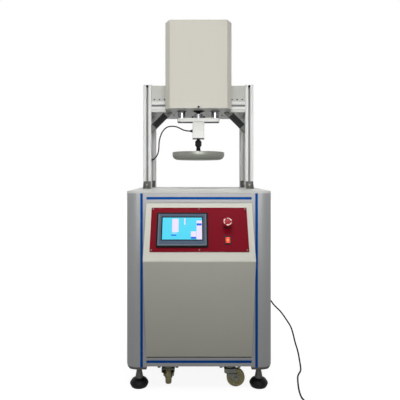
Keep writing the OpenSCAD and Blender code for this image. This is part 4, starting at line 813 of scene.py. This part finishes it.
class TESTER_OT_frame_metal(bpy.types.Operator):
    """Profiles, strips, castings and screws of the cabinet and the gantry"""

    bl_idname = "tester.frame_metal"
    bl_label = "Frame finishes"

    def execute(self, context):
        colours = context.scene.tester_colours
        dress(extrusion("post_anodised", colours.post, 0.42, 0.35), "corner_posts")
        dress(extrusion("rail_anodised", colours.post, 0.42, 0.35, end=RAIL_END), "frame_rails")
        self.gantry(colours)
        strip = moulded("strip_plastic", colours.strip, 0.45, 500.0, Specular_IOR_Level=0.06)
        strip.bump(strip.noise(1.0, 2.0, (3, 3, 300)), 0.00004)
        dress(strip, "slot_strips")
        dress(casting("bracket_casting", colours.casting), "cast_brackets")
        dress(casting("cap_casting", colours.casting), "post_end_caps")
        self.screws(colours)
        return {"FINISHED"}

    def gantry(self, colours):
        """Columns and beams with painted shade in their slots, fainter in the rear columns, and black
        braces.
        """
        column = extrusion("column_anodised", colours.column, 0.44, 0.2)
        depth = column.axes(column.place())[1]
        # Painted shade in the slots, full on the front columns and three tenths as strong on the rear ones
        front = column.between(depth, 1.0, 0.3, GANTRY_Y - 0.01, GANTRY_Y + 0.01)
        dress(two_tone(column, column.math("MULTIPLY", slots(column), front), SLOT_SHADE), "columns")
        beam = extrusion("beam_anodised", colours.column, 0.44, 0.2, end=BEAM_END)
        dress(two_tone(beam, slots(beam, BEAM_END), SLOT_SHADE), "cross_beams")
        dress(extrusion("brace_anodised", colours.black_profile, 0.5, 0.2, "Y"), "corner_braces")

    def screws(self, colours):
        """Zinc-plated screws, and black ones high on the gantry."""
        made = zinc_plate("screw_plating", colours.screws, 0.34)
        two_tone(made, above(made, BLACK_SCREWS_FROM), BLACK_SCREW, roughness=0.4)
        dress(made, "frame_screws")


class TESTER_OT_sheet_metal(bpy.types.Operator):
    """Paint on the panels, the table, the head cover and the plates"""

    bl_idname = "tester.sheet_metal"
    bl_label = "Sheet metal finishes"

    def execute(self, context):
        colours = context.scene.tester_colours
        dress(powder_coat("panel_powder", colours.panel), "front_panel", "side_panels", "rear_panel",
              "bottom_panel")
        dress(powder_coat("cover_powder", colours.cover, 0.4), "head_cover")
        dress(satin_paint("plate_paint", colours.plate), "beam_plates")
        dress(satin_paint("head_paint", colours.table), "head_plate")
        # A dark strip as painted shadow in the gap under the front panel
        self.panel_gap_shadow(colours)
        table = satin_paint("table_paint", colours.table, 0.36)
        table.gloss(table.between(table.noise(9.0, 6.0), 0.34, 0.5, 0.35, 0.65))
        dress(table, "table_plate")
        return {"FINISHED"}

    def panel_gap_shadow(self, colours):
        """A dark rubber strip between the front panel's foot and the bottom rail, put there as painted
        shadow in the gap.
        """
        shape = block((0.429, 0.003, 0.0028), (0, FRONT_Y - 0.0002, PANEL_FOOT - 0.0016))
        rounded(shape, [e for e in shape.edges if abs(e.verts[0].co.x - e.verts[1].co.x) > 0.1
                        and e.verts[0].co.y < FRONT_Y], 0.0012, 4)
        add_piece("panel_gap_shadow", shape, rubber("gap_shadow_rubber", colours.gap_shadow), "frame")


class TESTER_OT_control_desk(bpy.types.Operator):
    """Control plate, screen, stop button and lit rocker"""

    bl_idname = "tester.control_desk"
    bl_label = "Control desk"

    def execute(self, context):
        colours = context.scene.tester_colours
        dress(satin_paint("control_paint", colours.control, 0.42, Specular_IOR_Level=0.06), "control_plate")
        dress(self.bezel(colours), "screen_housing")
        dress(self.display(colours), "screen_glass")
        # The collar's dark red is partly its own red and partly painted shade under the stop's head
        dress(moulded("collar_plastic", COLLAR_RED_AND_SHADE, 0.5), "stop_collar")
        dress(moulded("plunger_plastic", colours.border, 0.4), "stop_plunger")
        dress(self.mushroom(colours), "stop_head")
        dress(moulded("rocker_bezel_plastic", colours.border, 0.3), "rocker_bezel")
        dress(self.lit_lens(colours), "rocker")
        self.stop_arrows(context)
        self.rocker_marks(context)
        self.screen_lamp(context)
        return {"FINISHED"}

    def bezel(self, colours):
        """Grey-blue face inside a black lip, darker over the display, with a painted highlight along its
        left, right and bottom edges.
        """
        made = moulded("bezel_plastic", colours.bezel, 0.5, 1100.0, Specular_IOR_Level=0.1)
        x, y, _ = made.on_desk(*SCREEN_AT)
        face = made.box(x, y, *BEZEL_FACE)
        frame_round_display = made.box(x, y, *DISPLAY_FRAME, 0, DISPLAY_AT[1] - SCREEN_AT[1])
        # Painted highlight along the left, right and bottom edges of the bezel's face
        painted_rim_highlight = made.math("MAXIMUM", made.between(made.math("ABSOLUTE", x), 0, 1, 0.088, 0.096),
                            made.between(y, 0, 1, -0.061, -0.068))
        tone = made.mix(painted_rim_highlight, made.current("Base Color"), linear(colours.rim))
        tone = made.mix(frame_round_display, tone, linear(colours.inner))
        made.tint(made.mix(face, linear(colours.border), tone))
        return made

    def display(self, colours):
        """A lit touch screen with plain blocks and bars and a faint pixel grid."""
        made = Finish("display_glass", GLASS, 0.2, Specular_IOR_Level=0.08)
        x, y, _ = made.on_desk(*DISPLAY_AT)
        picture = made.shade(made.noise(60.0), 0.04, linear(colours.screen))
        for tone, blocks in ((colours.field, PALE_BLOCKS), (colours.bar, BLUE_BLOCKS)):
            for block_on_display in blocks:
                picture = made.mix(made.box(x, y, *block_on_display), picture, linear(tone))
        lines = made.math("PINGPONG", made.math("MULTIPLY", y, 700.0), 0.5)
        rows = made.between(lines, 0.94, 1.0, 0.0, 0.12)
        shown = made.math("MULTIPLY", rows, made.box(x, y, *DISPLAY_SIZE))
        made.glow(made.mix(shown, BLACK, picture), 1.08)
        return made

    def mushroom(self, colours):
        """Glossy red, with a grip of fine ridges round its rim."""
        made = moulded("stop_red", colours.stop, 0.26, 1400.0, Coat_Weight=0.1, Coat_Roughness=0.12)
        x, y, _ = made.on_desk(*STOP_AT)
        grip = made.math("SINE", made.math("MULTIPLY", made.math("ARCTAN2", y, x), 36.0))
        rim = made.between(made.distance(x, y), 0, 1, 0.0185, 0.0195)
        made.bump(made.math("MULTIPLY", grip, rim), 0.0002)
        return made

    def lit_lens(self, colours):
        """A red lens that glows, brightest over its lamp."""
        made = moulded("lamp_lens", colours.lamp, 0.25, 700.0, Specular_IOR_Level=0.1)
        x, y, _ = made.on_desk(*ROCKER_AT)
        far = made.distance(x, y)
        spot = made.between(far, 1, 0, 0.0006, 0.0052)
        glow = made.between(far, 1.0, 0.55, 0.004, 0.013)
        lit = made.mix(spot, linear(colours.lamp), linear(colours.filament))
        shining = made.mix(glow, FAR_GLOW, lit)
        window = made.box(x, y, *ROCKER_WINDOW)
        made.tint(made.mix(window, LENS_RIM, linear(colours.lamp)))
        made.glow(made.mix(window, RIM_GLOW, shining), 0.85)
        return made

    def white_ink(self, context):
        made = Finish("white_print", context.scene.tester_colours.white, 0.5)
        made.drift(300.0, 3.0, 0.05)
        made.grain(1500.0, 2.0, 0.00003)
        return made

    def stop_arrows(self, context):
        """Three arrows that show which way the head turns to let go."""
        sizes = context.scene.tester_sizes
        shape = bmesh.new()
        columns, head_from = 20, 14
        for k in range(3):
            grid = bmesh.ops.create_grid(shape, x_segments=columns, y_segments=2, size=0.5)["verts"]
            start = math.radians(100 - 120 * k)
            for v in grid:
                column = round((v.co.x + 0.5) * columns)
                side = v.co.y * 2
                along = column / columns
                width = sizes.arrow_width / 2
                if column >= head_from:
                    width = sizes.arrow_width * 1.25 * (columns - column) / (columns - head_from) + 0.0001
                angle = start - math.radians(96) * along
                radius = sizes.arrow_ring + side * width
                v.co = (radius * math.cos(angle), radius * math.sin(angle), 0)
        draped(shape, "stop_head", desk_matrix(*STOP_AT, PLATE_T + 0.02), sizes.print_thickness)
        add_piece("stop_arrows", shape, self.white_ink(context), "stop_head", False)

    def rocker_marks(self, context):
        """The bar and the ring that mark a switch's on and off."""
        sizes = context.scene.tester_sizes
        ink = self.white_ink(context)
        place = desk_matrix(*ROCKER_AT, PLATE_T + 0.004)
        bar = bmesh.new()
        bmesh.ops.create_grid(bar, x_segments=2, y_segments=4, size=0.5)
        bmesh.ops.scale(bar, vec=(0.0009, 0.0042, 1), verts=bar.verts)
        bmesh.ops.translate(bar, verts=bar.verts, vec=(0, -0.0076, 0))
        draped(bar, "rocker", place, sizes.print_thickness)
        add_piece("rocker_on_mark", bar, ink, "rocker", False)
        ring = bmesh.new()
        for radius in (0.0023, 0.0015):
            bmesh.ops.create_circle(ring, segments=28, radius=radius)
        bmesh.ops.bridge_loops(ring, edges=ring.edges[:])
        bmesh.ops.translate(ring, verts=ring.verts, vec=(0, 0.0076, 0))
        draped(ring, "rocker", place, sizes.print_thickness)
        add_piece("rocker_off_mark", ring, ink, "rocker", False)

    def screen_lamp(self, context):
        """The small run lamp under the display."""
        shape = bmesh.new()
        place = desk_matrix(SCREEN_AT[0] + 0.004, SCREEN_AT[1] - 0.0605, PLATE_T + 0.007)
        turned(shape, [(0, -0.0004), (0.0016, -0.0004), (0.0016, 0.0002), (0.0011, 0.0006),
                       (0.0005, 0.0007), (0, 0.0007)], place, 24)
        lens = Finish("run_lamp", LAMP_OFF, 0.15, Coat_Weight=0.6)
        lens.drift(900.0, 2.0, 0.1)
        add_piece("screen_lamp", shape, lens, "frame")


class TESTER_OT_head(bpy.types.Operator):
    """Finishes of the press head, from the motor down to the indenter plate"""

    bl_idname = "tester.head"
    bl_label = "Press head"

    def execute(self, context):
        colours = context.scene.tester_colours
        dress(ground_steel("chrome_plating", colours.chrome, 0.09), "guide_rods")
        dress(ground_steel("ground_steel", colours.steel, 0.24), "thrust_rod")
        dress(ground_steel("milled_steel", colours.steel, 0.3, around="Y"), "load_cell")
        dress(self.black_oxide("oxide_coupling", colours), "disc_coupling", "floating_joint")
        dress(self.black_oxide("oxide_collar", colours), "stop_collars", "guide_bushings")
        dress(self.crosshead(colours), "crosshead")
        dress(self.cell_case(colours), "load_cell_case")
        dress(self.turned_plate(colours), "indenter_disc")
        dress(extrusion("actuator_anodised", colours.steel, 0.34, 0.55), "screw_actuator")
        dress(powder_coat("belt_case_coat", BELT_CASE, 0.4), "belt_case")
        dress(satin_paint("motor_paint", MOTOR, 0.35), "servo_motor")
        return {"FINISHED"}

    def black_oxide(self, name, colours):
        made = ground_steel(name, colours.oxide, 0.58, 0.1)
        made.grain(120.0, 5.0, 0.00005)
        return made

    def crosshead(self, colours):
        """White plate with painted shade on its side edges and underside, and a bare steel flange on it."""
        made = powder_coat("crosshead_coat", colours.white, 0.34)
        x, _, z = made.axes(made.place())
        # Painted shade: the crosshead's sides and underside are darkened
        edge = made.math("MAXIMUM", made.math("GREATER_THAN", made.math("ABSOLUTE", x), CROSSHEAD_SIDE),
                         made.math("LESS_THAN", z, CROSSHEAD_UNDERSIDE))
        two_tone(made, edge, colours.edge, roughness=0.5)
        return two_tone(made, above(made, FLANGE_FOOT), colours.chrome, 1.0, 0.4)

    def cell_case(self, colours):
        """White case with painted shade on its foot, and its black cable gland."""
        made = powder_coat("case_coat", colours.white, 0.34)
        x, _, z = made.axes(made.place())
        # Painted shade on the case's foot
        two_tone(made, made.math("LESS_THAN", z, CASE_FOOT), colours.edge, roughness=0.5)
        return two_tone(made, made.math("LESS_THAN", x, CASE_SIDE), colours.border, roughness=0.45)

    def turned_plate(self, colours):
        """Facing marks that run round the plate, and a black neck."""
        made = Finish("indenter_turned", colours.disc, 0.38, 0.5)
        inputs = {"Vector": made.seen_from((0, AXIS_Y, 0)), "Scale": 260.0, "Distortion": 0.4}
        rings = made.node("ShaderNodeTexWave", inputs, wave_type="RINGS", rings_direction="Z").outputs[1]
        cloud = made.noise(12.0, 4.0)
        made.tint(made.shade(cloud, 0.1))
        made.vary_gloss(cloud, 0.3, 0.46)
        made.bump(rings, 0.00003)
        return two_tone(made, above(made, DISC_NECK), colours.oxide, 0.2, 0.6)


class TESTER_OT_inside(bpy.types.Operator):
    """Finishes of the electrics behind the panels"""

    bl_idname = "tester.inside"
    bl_label = "Electrics"

    def execute(self, context):
        colours = context.scene.tester_colours
        dress(zinc_plate("electrics_zinc", colours.zinc), "electrics_plate")
        dress(moulded("drive_plastic", DRIVE, 0.5), "servo_drive")
        dress(extrusion("supply_case", colours.steel, 0.4, 0.7), "power_supply")
        dress(moulded("clip_plastic", colours.border, 0.5), "cable_clip")
        dress(moulded("gland_plastic", colours.border, 0.45), "power_gland")
        plug = moulded("plug_plastic", colours.rubber, 0.42)
        prongs = plug.math("LESS_THAN", plug.axes(plug.place())[0], PLUG_FACE)
        dress(two_tone(plug, prongs, PRONGS, 1.0, 0.22), "plug")
        return {"FINISHED"}


class TESTER_OT_running_gear(bpy.types.Operator):
    """Levelling feet with their threads, and casters"""

    bl_idname = "tester.running_gear"
    bl_label = "Feet and casters"

    def execute(self, context):
        colours = context.scene.tester_colours
        dress(zinc_plate("caster_zinc", colours.zinc), "caster_plates")
        fork = zinc_plate("fork_zinc", colours.zinc, 0.38)
        wheel = self.nylon(colours)
        foot = self.foot(colours)
        thread = zinc_plate("thread_zinc", colours.steel, 0.3)
        for place, (x, y) in FEET.items():
            dress(fork, f"fork_{place}")
            dress(wheel, f"wheel_{place}")
            dress(foot, f"foot_{place}")
            self.thread(context.scene.tester_sizes, thread, place, x, y)
        return {"FINISHED"}

    def nylon(self, colours):
        """Moulded nylon, scuffed where it rolls."""
        made = moulded("wheel_nylon", colours.nylon, 0.48, 600.0, Subsurface_Weight=0.05)
        dirt = made.between(made.noise(90.0, 5.0), 0, 0.8, 0.45, 0.7)
        low = made.between(made.axes(made.place())[2], 1, 0, 0.004, 0.03)
        return two_tone(made, made.math("MULTIPLY", dirt, low), WHEEL_DIRT)

    def foot(self, colours):
        """Rubber pad under a zinc-plated cone, nut and stem."""
        made = rubber("foot_rubber", colours.rubber, 0.5)
        return two_tone(made, above(made, PAD_TOP), colours.casting, 0.85, 0.36)

    def thread(self, sizes, finish, place, x, y):
        """The turns of thread that show between a foot's cone and its nut."""
        low, high, r = 0.0695, 0.0745, 0.008
        pitch = sizes.thread_pitch
        shape = bmesh.new()
        half = pitch * 0.48
        profile = [(r - 0.0004, -half), (r + 0.0004, 0), (r - 0.0004, half)]
        verts = [shape.verts.new((a, 0, b + low)) for a, b in profile]
        edges = [shape.edges.new(pair) for pair in zip(verts, verts[1:] + verts[:1])]
        turns = (high - low) / pitch
        rows = round(24 * turns)
        spun = bmesh.ops.spin(shape, geom=verts + edges, cent=(0, 0, 0), axis=(0, 0, 1), steps=rows,
                              angle=math.tau * turns, dvec=(0, 0, (high - low) / rows), use_merge=False)
        shape.faces.new(verts)
        shape.faces.new([v for v in spun["geom_last"] if isinstance(v, bmesh.types.BMVert)])
        bmesh.ops.translate(shape, verts=shape.verts, vec=(x, y, 0))
        add_piece(f"stem_thread_{place}", shape, finish, f"foot_{place}")


class TESTER_PT_panel(bpy.types.Panel):
    """Lists the pieces and their settings"""

    bl_idname = "TESTER_PT_panel"
    bl_label = "Foam hardness tester"
    bl_space_type = "VIEW_3D"
    bl_region_type = "UI"
    bl_category = "Tester"

    def draw(self, context):
        for operator in OPERATORS:
            self.layout.operator(operator.bl_idname)
        for group in (context.scene.tester_sizes, context.scene.tester_light, context.scene.tester_colours):
            box = self.layout.box()
            for setting in group.__annotations__:
                box.prop(group, setting)


OPERATORS = (TESTER_OT_stage, TESTER_OT_mains_cord, TESTER_OT_cell_cable, TESTER_OT_frame_metal,
             TESTER_OT_sheet_metal, TESTER_OT_control_desk, TESTER_OT_head, TESTER_OT_inside,
             TESTER_OT_running_gear)
GROUPS = {"tester_colours": TesterColours, "tester_sizes": TesterSizes, "tester_light": TesterLight}


def register():
    for group in GROUPS.values():
        bpy.utils.register_class(group)
    for name, group in GROUPS.items():
        setattr(bpy.types.Scene, name, PointerProperty(type=group))
    for kind in (*OPERATORS, TESTER_PT_panel):
        bpy.utils.register_class(kind)


def unregister():
    for kind in (TESTER_PT_panel, *reversed(OPERATORS)):
        bpy.utils.unregister_class(kind)
    for name, group in GROUPS.items():
        delattr(bpy.types.Scene, name)
        bpy.utils.unregister_class(group)


def main():
    register()
    for operator in OPERATORS:
        module, call = operator.bl_idname.split(".")
        getattr(getattr(bpy.ops, module), call)()


if __name__ == "__main__":
    main()
